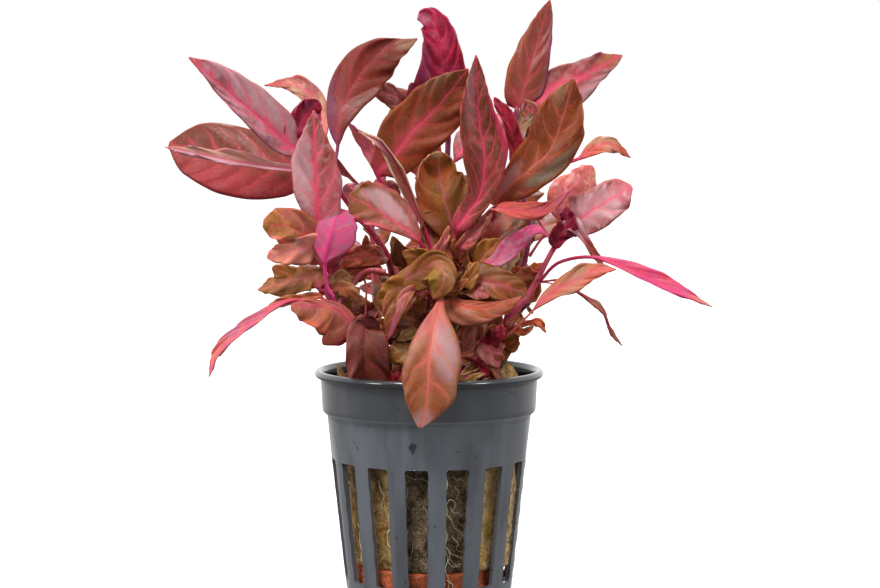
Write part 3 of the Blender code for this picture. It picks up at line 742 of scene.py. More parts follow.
def wool_finish(name, lift=0.0):
    """Golden beige with pits of painted shade, stained dark in front, lighter on the right as painted
    light; lift spares the pits.
    """
    finish = Finish(name)
    place = finish.place()
    x, y, z = finish.split(place)
    mat = finish.cloud(place, 0.42, 5.0, 0.75)
    hairs = finish.cloud(place * (1.6, 1.6, 0.5), 0.5, 4.0, 0.7)
    tufts = finish.cloud(place * (1.0, 1.0, 0.6), 2.6, 3.0, 0.6)
    patches = finish.cloud(place * (1.0, 1.0, 0.45), 6.5, 2.0)
    strand = finish.cloud(place * (0.6, 0.6, 3.2), 0.6, 3.0, 0.6)
    gold = finish.step(finish.cloud(place * (1.0, 1.0, 0.3), 2.2, 3.0, 0.6), 0.56, 0.62)
    clumps = finish.step(finish.cloud(place * (1.0, 1.0, 0.7), 1.6, 6.0, 0.78), 0.49, 0.58)
    # The stain has ragged sides. The pale right part is painted light and carries a seam of golden flock.
    ragged = x + (tufts - 0.5) * 3.0
    stain = finish.step(ragged, *STAIN_LEFT) * (1 - finish.step(ragged, *STAIN_RIGHT))
    stain = stain * (1 - finish.step(y, -14.5, -13.0)) * (1 - finish.step(z, *STAIN_TOP))
    pale = finish.step(x, *PAINTED_LIGHT_X) * (1 - finish.step(z, *PAINTED_LIGHT_TOP))
    seam = abs(x - SEAM_X + (z - SEAM_HEIGHT) * -0.16 + (tufts - 0.5) * 4.0 + (mat - 0.5) * 2.4)
    seam = (1 - finish.step(seam, 0.35, 0.6)) * pale * (1 - finish.step(z, 20.0, 24.0))
    soaked = finish.step(tufts + (mat - 0.5) * 0.4, 0.36, 0.66)
    dark = finish.mix(soaked, tone(52, 39, 32), tone(112, 90, 74))
    colour = finish.lay(
        tone(166, 124, 72),
        (finish.step(tufts, 0.3, 0.7), tone(218, 178, 114)),
        (finish.step(patches, 0.5, 0.66) * 0.7, tone(212, 160, 70)),
        (finish.step(patches, 0.3, 0.45) * -0.8 + 0.8, tone(138, 104, 76)),
        (gold * 0.8, tone(222, 178, 76)),
        (clumps * 0.7, tone(104, 72, 44)),
        # The right side lightened as painted light.
        (pale * 0.8, tone(252, 214, 156)),
        (clumps * pale * 0.6, tone(150, 112, 72)),
        (seam * 0.85, tone(240, 196, 74)),
        (stain * 0.92, dark))
    cream = finish.mix(0.42, colour, tone(250, 222, 170))
    # Pits: painted shade in the hollows of the mat, where the relief is low.
    pit_shade = 1 - finish.step(mat + strand * 0.5, 0.58, 0.7)
    pit_shade = finish.reckon("MAXIMUM", pit_shade, (1 - finish.step(hairs, 0.34, 0.44)) * 0.8) * (1 - pale * 0.2)
    colour = finish.lay(colour, (finish.step(mat + (tufts - 0.5) * 0.6, 0.44, 0.64) * 0.75, cream),
                        (pit_shade * (PIT_SHADE - lift), tone(40, 26, 16)))
    height = mat * 0.9 + strand * 0.6 + tufts * 0.6 + hairs * 0.5
    return finish.dress(colour, 0.92, height, depth=0.5, strength=1.0)


def clay_finish():
    """Orange clay with paler crumbs, a blush of soot, and open pores darkened as painted shade."""
    finish = Finish("fired_clay_disc")
    place = finish.place()
    crumbs = finish.cloud(place, 0.9, 4.0, 0.65)
    blush = finish.cloud(place, 4.0, 2.0)
    soot = finish.step(finish.cloud(place + 5.0, 5.0, 3.0), 0.5, 0.66)
    # Pores: painted shade in their hollows.
    pore_shade = 1 - finish.step(finish.dots(place, 0.9), 0.18, 0.3)
    colour = finish.lay(
        tone(160, 68, 28),
        (finish.step(blush, 0.3, 0.7), tone(200, 100, 60)),
        (finish.step(crumbs, 0.5, 0.75) * 0.6, tone(226, 150, 116)),
        (soot * 0.6, tone(96, 48, 32)),
        (pore_shade * 0.6, tone(70, 32, 18)))
    return finish.dress(colour, 0.9, crumbs - pore_shade * 0.5, depth=0.3)


make_piece("clay_in_pot", *CLAY_SHAPE, clay_finish(), "fired_clay", ["clay_disc"])
make_piece("wool_plug", *WOOL_SHAPE, wool_finish("rock_wool_matted"), "rock_wool", ["rock_wool"])
print("filling made")

# %% [markdown]
# Strands of the wool
#
# Strands lie on the wool in every direction. A few stand off it, and that softens its outline.

# %% Strands over the wool
STRAND_SEED = 11
STRAND_COUNT = 2600
TOP_SHARE, PROUD_SHARE = 0.22, 0.08
STRAND_RADIUS = 0.036


def strand_path(draw):
    """A short bent line that starts on the wool's side or top and keeps close to it."""
    on_top = draw.random() < TOP_SHARE
    turn = draw.uniform(0.0, 2 * math.pi)
    height = WOOL_TOP if on_top else draw.uniform(WOOL_FOOT + 0.5, WOOL_TOP - 0.5)
    reach = draw.uniform(4.0, WOOL_TOP_RADIUS - 0.5) if on_top else 0.0
    length = draw.uniform(2.0, 7.0)
    lean = draw.uniform(-1.2, 1.2)
    bow = draw.uniform(-0.8, 0.8)
    stand = draw.uniform(0.0, 0.35) + (0.6 if draw.random() < PROUD_SHARE else 0.0)
    path = []
    for step in range(7):
        share = step / 6.0
        along = (share - 0.5) * length
        if on_top:
            angle = turn + lean * share + bow * share * share
            spot = Vector((reach * math.sin(turn) + along * math.cos(angle),
                           -reach * math.cos(turn) + along * math.sin(angle), WOOL_TOP))
            radius = min(math.hypot(spot.x, spot.y), WOOL_TOP_RADIUS - 0.8)
            spot = Vector((*(Vector((spot.x, spot.y)).normalized() * radius), WOOL_TOP))
            base = wool_push(spot, radius)
            path.append(base + Vector((0, 0, 0.1 + stand * math.sin(math.pi * share))))
        else:
            level = min(max(height + along * math.sin(lean), WOOL_FOOT + 0.3), WOOL_TOP - 1.6)
            radius = wool_radius(level)
            angle = turn + along * math.cos(lean) / radius + 0.04 * bow * math.sin(3 * share)
            spot = Vector((radius * math.sin(angle), -radius * math.cos(angle), level))
            base = wool_push(spot, radius)
            path.append(base + outward(spot) * (0.05 + stand * math.sin(math.pi * share)))
    return path


draw = random.Random(STRAND_SEED)
strands = []
for _ in range(STRAND_COUNT):
    size = STRAND_RADIUS * draw.uniform(0.6, 1.5)
    strands.append(tube(strand_path(draw), [size * 0.5] + [size] * 5 + [size * 0.4], 3))
make_piece("wool_strands", *joined(strands), wool_finish("rock_wool_strands", STRAND_LIFT), "rock_wool")
print("strands:", len(strands))

# %% [markdown]
# The roots are thicker than the strands, pale and fewer. The picture shows the longest of them
# down the edge of one front slot, with side roots that cross it, so those follow chosen points.
# Loose roots wander down the wool all round.

# %% Roots in the slots
ROOT_STAND = 0.35
# Each front root: its radius, and points as it is seen from the front, across and up.
FRONT_ROOTS = (
    (0.17, ((3.3, 29.5), (4.0, 27.0), (3.2, 24.0), (3.9, 21.0), (3.1, 18.0), (3.9, 15.5), (3.4, 12.5),
            (4.1, 10.0), (3.5, 7.5), (4.4, 5.0), (4.0, 2.2))),
    (0.13, ((3.6, 22.4), (4.4, 23.6), (5.4, 23.2), (5.6, 22.0), (4.9, 21.0))),
    (0.1, ((4.6, 21.6), (5.6, 20.4), (6.2, 20.6), (7.4, 19.4))),
    (0.1, ((3.9, 20.2), (5.0, 18.6), (5.6, 17.0), (7.2, 15.8), (7.6, 14.4))),
    (0.11, ((3.6, 12.8), (4.6, 11.4), (4.2, 9.6), (5.2, 8.2), (6.8, 8.6), (8.0, 8.0))),
    (0.09, ((5.0, 28.8), (6.3, 27.9), (7.0, 28.2), (8.4, 26.6))),
    (0.09, ((5.6, 26.6), (6.4, 25.2), (6.0, 24.0), (7.3, 22.4))),
    (0.09, ((4.2, 11.4), (6.0, 10.6), (8.2, 9.4))),
    (0.08, ((5.0, 15.0), (6.2, 13.6), (6.0, 12.0), (7.6, 11.2))),
    (0.08, ((6.4, 18.4), (7.2, 17.4), (8.2, 17.8))),
    (0.1, ((-6.0, 29.4), (-4.6, 29.0), (-3.2, 28.2), (-1.6, 28.4), (0.2, 27.4))),
    (0.07, ((-5.6, 27.6), (-4.6, 25.8), (-4.9, 23.4), (-4.2, 21.2))),
    (0.08, ((-1.2, 22.0), (-0.4, 20.6), (-1.0, 19.0))),
    (0.13, ((3.9, 5.2), (5.2, 4.0), (4.8, 2.0))),
    (0.12, ((3.6, 4.4), (3.0, 3.2), (3.6, 1.8))),
)
LOOSE_ROOTS = 46


def on_wool(x, z, stand):
    """The point of the wool's front that lies at x and height z."""
    radius = wool_radius(min(max(z, WOOL_FOOT), WOOL_TOP)) if z > CLAY_TOP else CLAY_RADIUS
    spot = Vector((x, -math.sqrt(radius ** 2 - x ** 2), z))
    base = wool_push(spot, radius) if z > CLAY_TOP else spot
    return base + outward(spot) * stand


def loose_root(draw):
    """Six points down the wool from a place drawn by chance."""
    turn = draw.uniform(0.0, 2 * math.pi)
    level = draw.uniform(9.0, 30.0)
    path = []
    for _ in range(6):
        radius = wool_radius(max(level, WOOL_FOOT)) + 0.25
        spot = Vector((radius * math.sin(turn), -radius * math.cos(turn), level))
        path.append(wool_push(spot, radius) + outward(spot) * draw.uniform(0.05, 0.4))
        turn += draw.uniform(-0.07, 0.07)
        level = max(level - draw.uniform(0.6, 2.4), 8.0)
    return path


def root_finish():
    finish = Finish("pale_roots")
    place = finish.place()
    shade = finish.cloud(place, 1.6, 3.0)
    colour = finish.mix(finish.step(shade, 0.3, 0.7), tone(196, 176, 132), tone(240, 232, 208))
    return finish.dress(colour, 0.6, shade, depth=0.05)


roots = []
for size, line in FRONT_ROOTS:
    path = smooth_path([on_wool(x, z, ROOT_STAND + size) for x, z in line], 8 * len(line))
    roots.append(tube(path, np.linspace(size, size * 0.45, len(path)), 7))
for _ in range(LOOSE_ROOTS):
    path = smooth_path(loose_root(draw), 30)
    size = draw.uniform(0.05, 0.11)
    roots.append(tube(path, np.linspace(size, size * 0.4, len(path)), 6))
make_piece("roots", *joined(roots), root_finish(), "rock_wool")
print("roots:", len(roots))

# %% [markdown]
# The stems
#
# A stem is a fleshy tube with a swollen joint wherever a pair of leaves leaves it, and with fine
# ridges along it. A round bevelled curve can't swell at chosen places, so each stem is a tube of
# rings whose radii are worked out from the heights of its leaves.

# %% The stems' lines
STEM_FOOT = 41.0
STEM_TIP_SHARE = 0.62
STEM_RINGS = 150
STEM_SIDES = 20
# Each stem: its radius at the foot, where it stands in the wool, then points up its middle.
STEMS = {
    "stem_left": (1.2, ((-5, -7), (-9, -9, 55.5), (-15, -12, 61), (-20.5, -14, 66.5),
                        (-23, -14, 71), (-23.5, -13, 78), (-22.5, -12, 83))),
    "stem_centre": (1.1, ((-4, -3), (-3.4, -4.5, 58), (-1.5, -6, 64), (1, -7.5, 70), (2.5, -8, 77))),
    "stem_pink": (1.1, ((4, -1), (7, -3, 60), (8, -4.5, 72), (6.5, -5, 79), (6.3, -5, 84))),
    "stem_magenta": (1.1, ((9.5, 2), (10, 1, 62), (9.5, 0, 75), (11, -1, 80), (14, -2.5, 84.5),
                           (15.5, -4, 89))),
    "stem_high_left": (1.2, ((-7, 4), (-7, 2, 62), (-9, 0, 75), (-12.5, -1, 81.5), (-19, -2.5, 90),
                             (-24.5, -4, 98), (-27, -5, 104))),
    "stem_right": (1.4, ((11.5, -5), (14, -6.5, 57), (17.5, -7, 62.5), (22.8, -7, 69.2),
                         (27.6, -6, 78), (30.3, -5, 82), (31.5, -4, 86))),
    "stem_high_right": (1.2, ((14.5, 6), (18.5, 5, 64), (21.6, 4, 74), (23, 3, 84), (21, 2.5, 92),
                              (19, 2, 99), (19.5, 1.8, 106), (20, 1.5, 111))),
    "stem_back": (1.2, ((0, 11), (1, 13, 60), (3, 18, 76), (4, 21, 92), (4.5, 22, 105))),
    "stem_back_left": (1.1, ((-10, 9), (-12, 12, 58), (-13, 17, 72), (-14, 21, 88), (-14.5, 22, 93))),
    "stem_back_right": (1.1, ((8, 12), (12, 14, 58), (17, 19, 72), (20.5, 22, 86), (21, 23, 91))),
}


def stem_line(name):
    """The stem's radius at its foot, and points along its middle."""
    radius, points = STEMS[name]
    x, y = points[0]
    foot = [(x, y, STEM_FOOT), (x, y, 49.0)]
    return radius, smooth_path(foot + list(points[1:]), STEM_RINGS)


def stem_place(name, height):
    """Where a stem's middle is at a height, which way it runs there, and its radius."""
    radius, line = stem_line(name)
    index = int(np.argmin(np.abs(line[:, 2] - height)))
    run = unit(line[min(index + 1, len(line) - 1)] - line[max(index - 1, 0)])
    return line[index], run, radius * (1.0 - (1.0 - STEM_TIP_SHARE) * index / (len(line) - 1))


STEPS = np.diff(stem_line("stem_left")[1], axis=0)
print("stem_left is", round(float(np.linalg.norm(STEPS, axis=1).sum()), 1), "mm long")

# %% [markdown]
# The colours
#
# The plant's colours are named once, in the words one would use at the bench, and every leaf and
# stem is described with these names. They are screen values of a lit leaf.

# %% The plant's colours
# The haze is a painted sheen: the pale grey gloss of light on a leaf, laid on as a colour.
COLOURS = {
    "grey_mauve": deep(158, 112, 116), "lilac": deep(206, 158, 172), "pale_lilac": deep(222, 188, 198),
    "hot_pink": deep(238, 82, 118), "pink": deep(226, 112, 132), "soft_red": deep(200, 78, 84),
    "salmon": deep(230, 122, 104), "peach": deep(224, 152, 130), "cream": deep(226, 202, 168),
    "tan": deep(182, 126, 70), "beige": deep(196, 162, 124), "olive": deep(140, 92, 28),
    "yellow_olive": deep(172, 140, 48), "olive_brown": deep(106, 66, 28), "dark_olive": deep(74, 56, 36),
    "orange": deep(208, 98, 52), "orange_brown": deep(166, 84, 32), "coral": deep(222, 92, 66),
    "rust": deep(140, 62, 32), "red_brown": deep(150, 56, 46), "brown": deep(116, 56, 34),
    "dusty_rose": deep(166, 88, 84), "crimson": deep(168, 28, 60), "magenta": deep(200, 36, 94),
    "dark_magenta": deep(134, 14, 60), "purple": deep(146, 66, 108), "maroon": deep(104, 26, 38),
    "dark_maroon": deep(62, 12, 26), "grey_olive": deep(112, 104, 84), "mauve": deep(188, 112, 142),
    "fuchsia": deep(226, 72, 142), "painted_sheen_grey": deep(206, 172, 176), "pale_green": deep(196, 190, 142),
    "terracotta": deep(176, 100, 72),
}
print("colours:", len(COLOURS))

# %% [markdown]
# A leaf's shape
#
# A leaf is a thin blade on a stalk. Its midrib is the driving line, and the blade is a grid of
# rows laid across it. The rows are swept towards the tip, because the side veins run that way:
# then every vein follows one row, and the blade can swell between the veins as a quilt does.
# The two faces are the middle sheet moved out by half the leaf's thickness, and they share the
# points of the margin, so the leaf is one closed thin body.

# %% Helpers of the blade
STALK_HALF = 0.52
BLADE_ROWS, STALK_ROWS = 56, 10
BLADE_COLUMNS = 14
COLUMN_POWER = 1.4
LEAF_THICKNESS = 0.3
VEIN_SWEEP = 0.3
SWEEP_SHARES = (0.0, 0.1, 0.25, 0.4, 0.55, 0.75, 1.0)
SWEEP_AMOUNTS = (0.0, 0.5, 0.92, 1.0, 0.88, 0.52, 0.0)
VEIN_CURVE = 1.35
OTHER_SIDE_SHIFT = 0.4
VEIN_PITCH = 4.6
VEIN_CROWDING = 0.92
GROOVE_DEPTH, GROOVE_REACH = 0.22, 0.7
RIB_SWELL, RIB_REACH = 0.42, 0.62
STALK_END = 0.12
PLAIN_SHAPE = {"stalk": 0.1, "fold": 0.0, "curl": 0.0, "twist": 0.0, "ripple": 0.45, "waves": 2.6,
               "quilt": 0.3, "warp": 0.6, "scallop": 0.03, "widest": 0.5, "base": 1.0, "tip": 1.0,
               "uneven": 0.07, "slim": 0.8}


def swell(along, shape):
    """How wide the blade is at shares of its length, from 0 to about 1, by a smooth rule."""
    skew = math.log(0.5) / math.log(shape["widest"])
    power = np.where(along < shape["widest"], shape["base"], shape["tip"])
    return np.clip(np.sin(math.pi * along ** skew), 0.0, 1.0) ** power


def traced(along, outline):
    """The same from hundredths at even steps, joined by a smooth curve."""
    values = [float(word) / 100.0 for word in outline.split()]
    steps = np.linspace(0.0, 1.0, len(values))
    line = smooth_path([(step, value, 0.0) for step, value in zip(steps, values)], 200)
    return np.interp(along, line[:, 0], line[:, 1])


def half_widths(share, across, width, shape, seed):
    """Half the leaf's width at shares of its length, stalk included, on either side."""
    stalk = shape["stalk"]
    along = np.clip((share - stalk) / (1.0 - stalk), 0.0, 1.0)
    if "left" in shape:
        form = np.where(across > 0, traced(along, shape["left"]), traced(along, shape["right"]))
    else:
        draw = random.Random(seed + " outline")
        beats = [draw.uniform(0.0, 2 * math.pi) for _ in range(4)]
        left = np.sin(5.0 * along + beats[0]) + 0.6 * np.sin(11.0 * along + beats[1])
        right = np.sin(5.0 * along + beats[2]) + 0.6 * np.sin(11.0 * along + beats[3])
        uneven = np.where(across > 0, left, right)
        form = swell(along, shape) * (1.0 + shape["uneven"] * uneven)
    least = np.interp(along, (0.0, 0.15, 1.0), (STALK_HALF, 0.4, 0.1))
    return np.hypot(least * shape["slim"], 0.5 * width * np.clip(form, 0.0, None) * (share > stalk))


def vein_count(length, shape):
    """The pairs of side veins: those that the shape names, or as many as the blade has room for."""
    return shape.get("veins", max(4, round(length * (1.0 - shape["stalk"]) / VEIN_PITCH)))


def vein_phase(blade, across, veins):
    """A number that is whole on every side vein; the two sides don't quite match."""
    return veins * blade ** VEIN_CROWDING + np.where(across > 0, OTHER_SIDE_SHIFT, 0.0)


def bend(angle, curl, across):
    """How far out and up a margin point goes, for a section that starts at an angle and curls."""
    curl = np.where(np.abs(curl) < 1e-3, 1e-3, curl)
    out = (np.sin(angle + curl * across) - np.sin(angle)) / curl
    up = (np.cos(angle) - np.cos(angle + curl * across)) / curl
    return out, up


print("a leaf of 30 mm has", vein_count(30.0, PLAIN_SHAPE), "pairs of side veins")

# %% [markdown]
# The shape words of a leaf are few. Fold and curl lift the two halves towards the upper face,
# twist turns the blade along its length, ripple waves its margin, quilt is how far it swells
# between the veins, and warp is a slow unevenness that no two leaves share. A leaf with an
# outline of its own gives it as eleven half widths on the left and on the right, in hundredths
# of half the leaf's width. A word that a leaf leaves out has its plain value.

# %% Grow one blade
def leaf_line(stem, height, rib):
    """The midrib's line from inside the stem to the tip, finely sampled."""
    centre, run, thick = stem_place(stem, height)
    away = np.array(rib[0], float) - centre
    away = unit(away - np.dot(away, run) * run)
    start = [centre + away * thick * 0.25, centre + away * (thick + 0.6)]
    return smooth_path(start + [np.array(point, float) for point in rib], 240)


def leaf_sheet(line, width, face, shape, seed, blade_rows=BLADE_ROWS, half_columns=BLADE_COLUMNS):
    """The middle sheet of the blade as rows of points, with what the finish needs to know."""
    draw = random.Random(seed)
    stalk = shape["stalk"]
    lengths = np.concatenate([[0.0], np.cumsum(np.linalg.norm(np.diff(line, axis=0), axis=1))])
    length = float(lengths[-1])
    veins = vein_count(length, shape)

    # Each point's share along the blade, negative on the stalk, and across it, -1 to 1.
    spread = np.linspace(-1.0, 1.0, 2 * half_columns + 1)
    across = np.sign(spread) * np.abs(spread) ** COLUMN_POWER
    blade = np.concatenate([np.linspace(-1.0, 0.0, STALK_ROWS, endpoint=False),
                            np.linspace(0.0, 1.0, blade_rows + 1)])
    blade, across = np.meshgrid(blade, across, indexing="ij")
    side_of, off = across > 0, np.abs(across)
    rows = np.clip(blade, 0.0, 1.0)
    swept = rows + VEIN_SWEEP * off ** VEIN_CURVE * np.interp(rows, SWEEP_SHARES, SWEEP_AMOUNTS)
    share = np.where(blade < 0.0, stalk * (1.0 + blade), stalk + (1.0 - stalk) * swept)

    # The directions along the midrib: out of the upper face, and to the blade's left.
    shares = lengths / length
    tangent = unit(np.gradient(line, axis=0))
    upper = np.array(face, float) + 0.0 * tangent
    upper = unit(upper - np.sum(upper * tangent, axis=1, keepdims=True) * tangent)
    side = np.cross(upper, tangent)
    twist = np.radians(shape["twist"]) * (shares - 0.35)[:, None]
    side, upper = (side * np.cos(twist) + upper * np.sin(twist),
                   upper * np.cos(twist) - side * np.sin(twist))

    def at(values):
        return np.stack([np.interp(share, shares, values[:, axis]) for axis in range(3)], axis=-1)

    # How far each point goes out to its side, and up by the fold and the curl.
    phase = vein_phase(rows, across, veins)
    half = half_widths(share, across, width, shape, seed)
    full = np.clip(half / (0.3 * width), 0.0, 1.0)
    scallop = 1.0 - shape["scallop"] * np.cos(2 * math.pi * phase) * off ** 3
    curl = np.radians(np.where(side_of, shape["curl"], shape.get("curl_right", shape["curl"])))
    angle = np.radians(np.where(side_of, shape.get("fold_left", shape["fold"]),
                                shape.get("fold_right", shape["fold"])))
    out, up = bend(angle * full, curl * full, off)
    out = np.sign(across) * out * half * scallop
    up = up * half * scallop

    # Ripples at the margin, swellings between the veins, a slow warp and the midrib's groove.
    soft = np.sin(math.pi * np.clip(rows, 0.02, 0.98)) ** 0.6 * full
    waves = shape["waves"]
    turns = [draw.uniform(0.0, 2 * math.pi) for _ in range(4)]
    ripple = shape["ripple"] * off ** 2.2 * (
        np.sin(2 * math.pi * waves * rows + turns[0] + np.where(side_of, 1.7, 0.0))
        + 0.4 * np.sin(2 * math.pi * 2.3 * waves * rows + turns[1] + np.where(side_of, 0.0, 2.1)))
    quilt = shape["quilt"] * np.sin(math.pi * phase) ** 2 * off ** 0.7 * (1.0 - off ** 5)
    warp = shape["warp"] * (np.sin(2.3 * rows * math.pi + turns[2]) * across
                            + 0.6 * np.sin(4.1 * rows * math.pi + turns[3]) * off)
    groove = -GROOVE_DEPTH * np.exp(-(across * half / GROOVE_REACH) ** 2) * np.clip(1.2 - rows, 0.0, 1.0)
    up = up + (ripple + quilt + warp * np.clip(half / 4.0, 0.0, 1.0) + groove) * soft * (blade > 0.0)
    points = at(line) + at(side) * out[..., None] + at(upper) * up[..., None]
    return {"points": points, "upper": at(upper), "blade": blade, "across": across, "half": half,
            "length": length, "veins": veins}


print("blade rows:", BLADE_ROWS, "columns:", 2 * BLADE_COLUMNS)

# %% [markdown]
# The sheet becomes a body. Its thickness is round on the stalk, thin on the blade and thicker
# again along the midrib's underside. A UV layer tells the finish how far along and across the
# blade a point is; the underside is shifted by four, so one material can dress both faces.
# Two more values ride on the points: the blade's half width there, and the leaf's own mood,
# which shifts its colour when many small leaves share one finish.

# %% Give the sheet its two faces
UNDER_SHIFT = 4.0
EVEN_MOOD = 0.5


def leaf_body(sheet):
    """Points, faces, whether each face is on the underside, and three values for each point."""
    points, blade, across = sheet["points"], sheet["blade"], sheet["across"]
    rows, columns = across.shape
    normal = unit(np.cross(np.gradient(points, axis=1), np.gradient(points, axis=0)))
    normal = np.where(np.sum(normal * sheet["upper"], axis=-1, keepdims=True) < -0.2, -normal, normal)
    off_rib = np.abs(across) * sheet["half"]
    stalky = np.clip(-blade * 8.0 + 1.0, 0.0, 1.0) * (blade < STALK_END)
    stalky = np.maximum(stalky, np.clip(1.0 - blade / STALK_END, 0.0, 1.0))
    round_edge = np.sqrt(np.clip(1.0 - across ** 2, 0.0, 1.0))
    thin = 0.5 * LEAF_THICKNESS * np.clip(1.0 - np.abs(across) ** 10, 0.0, 1.0) ** 0.5
    rib = RIB_SWELL * np.exp(-(off_rib / RIB_REACH) ** 2) * np.clip(1.15 - blade, 0.1, 1.0) * (1.0 - stalky)
    flat = stalky * np.minimum(0.85 * sheet["half"], STALK_HALF) * round_edge + (1.0 - stalky) * thin
    above = points + normal * (flat + 0.3 * rib)[..., None]
    below = points - normal * (flat + rib)[..., None]
    number = rows * columns
    index = np.arange(number).reshape(rows, columns)
    under = index + number
    under[:, 0] = index[:, 0]
    under[:, -1] = index[:, -1]
    faces, sides = [], []
    for r in range(rows - 1):
        for c in range(columns - 1):
            faces.append((index[r, c], index[r, c + 1], index[r + 1, c + 1], index[r + 1, c]))
            faces.append((under[r, c + 1], under[r, c], under[r + 1, c], under[r + 1, c + 1]))
            sides += [False, True]
    for r, flip in ((0, False), (rows - 1, True)):
        for c in range(columns - 1):
            ring = [index[r, c + 1], index[r, c], under[r, c], under[r, c + 1]]
            ring = [point for place, point in enumerate(ring) if point not in ring[:place]]
            faces.append(tuple(ring[::-1] if flip else ring))
            sides.append(False)
    shape = np.vstack([above.reshape(-1, 3), below.reshape(-1, 3)])
    used = np.unique(np.concatenate([np.array(face) for face in faces]))
    renumber = np.full(len(shape), -1)
    renumber[used] = np.arange(len(used))
    faces = [tuple(int(renumber[point]) for point in face) for face in faces]
    values = np.stack([np.tile(sheet[key].ravel(), 2)[used] for key in ("blade", "across", "half")])
    return shape[used], faces, sides, values


def make_leaves(name, sheets, moods, material, slot, nodes=()):
    """One piece of one or more leaves."""
    bodies = [leaf_body(sheet) for sheet in sheets]
    points, faces = joined([body[:2] for body in bodies])
    item = make_piece(name, points, faces, material, slot, nodes)
    mesh = item.data
    along, across, half = np.hstack([body[3] for body in bodies])
    below = np.concatenate([np.array(body[2]) for body in bodies])
    corner = np.zeros(len(mesh.loops), np.int32)
    mesh.loops.foreach_get("vertex_index", corner)
    below = np.repeat(below, [len(face) for face in faces])
    spots = np.stack([along[corner] + UNDER_SHIFT * below, across[corner]], axis=1)
    mesh.uv_layers.new(name="leaf").data.foreach_set("uv", spots.astype(np.float32).ravel())
    mood = np.concatenate([np.full(len(body[0]), mood) for body, mood in zip(bodies, moods)])
    for key, values in (("half_width", half), ("mood", mood)):
        mesh.attributes.new(key, "FLOAT", "POINT").data.foreach_set("value", values.astype(np.float32))
    return item


print("leaf thickness:", LEAF_THICKNESS, "mm")

# %% [markdown]
# A leaf's finish
#
# The blade is a mottled mix of two colours of its family, with patches of a third between the
# veins. The midrib and the side veins are broad and soft at their start, finer towards the
# margin, and they fade here and there. Between them lie a faint net and a pale painted sheen,
# patches that stand in for the gloss of light. Single leaves carry tints: a scorched tip, an
# orange lower edge or a purple base, and some carry patches of painted sheen. A tint is a soft
# patch given by its colour, its place along and across the leaf, its size that way and its
# strength. A word that a look leaves out has its plain value.

# %% The leaf's finish
PARTS = ("blade", "second", "patch", "vein", "rib", "margin", "under")
# A look's bloom is how much pale painted sheen it carries: patches standing in for the gloss of light.
PLAIN_LOOK = {"patchy": 0.6, "bloom": 0.06, "clear": 0.8, "vein_size": 0.5, "rib_size": 0.75,
              "edged": 0.3, "stalk": "magenta", "light": 1.0, "tints": ()}
SHEEN, SHEEN_ROUGHNESS = 0.22, 0.42
NET_PITCH = 1.3
GLOW_REACH = 3.6
STALK_SHARE, UNDER_SHARE, GRAIN_SHARE = 0.85, 0.85, 0.16


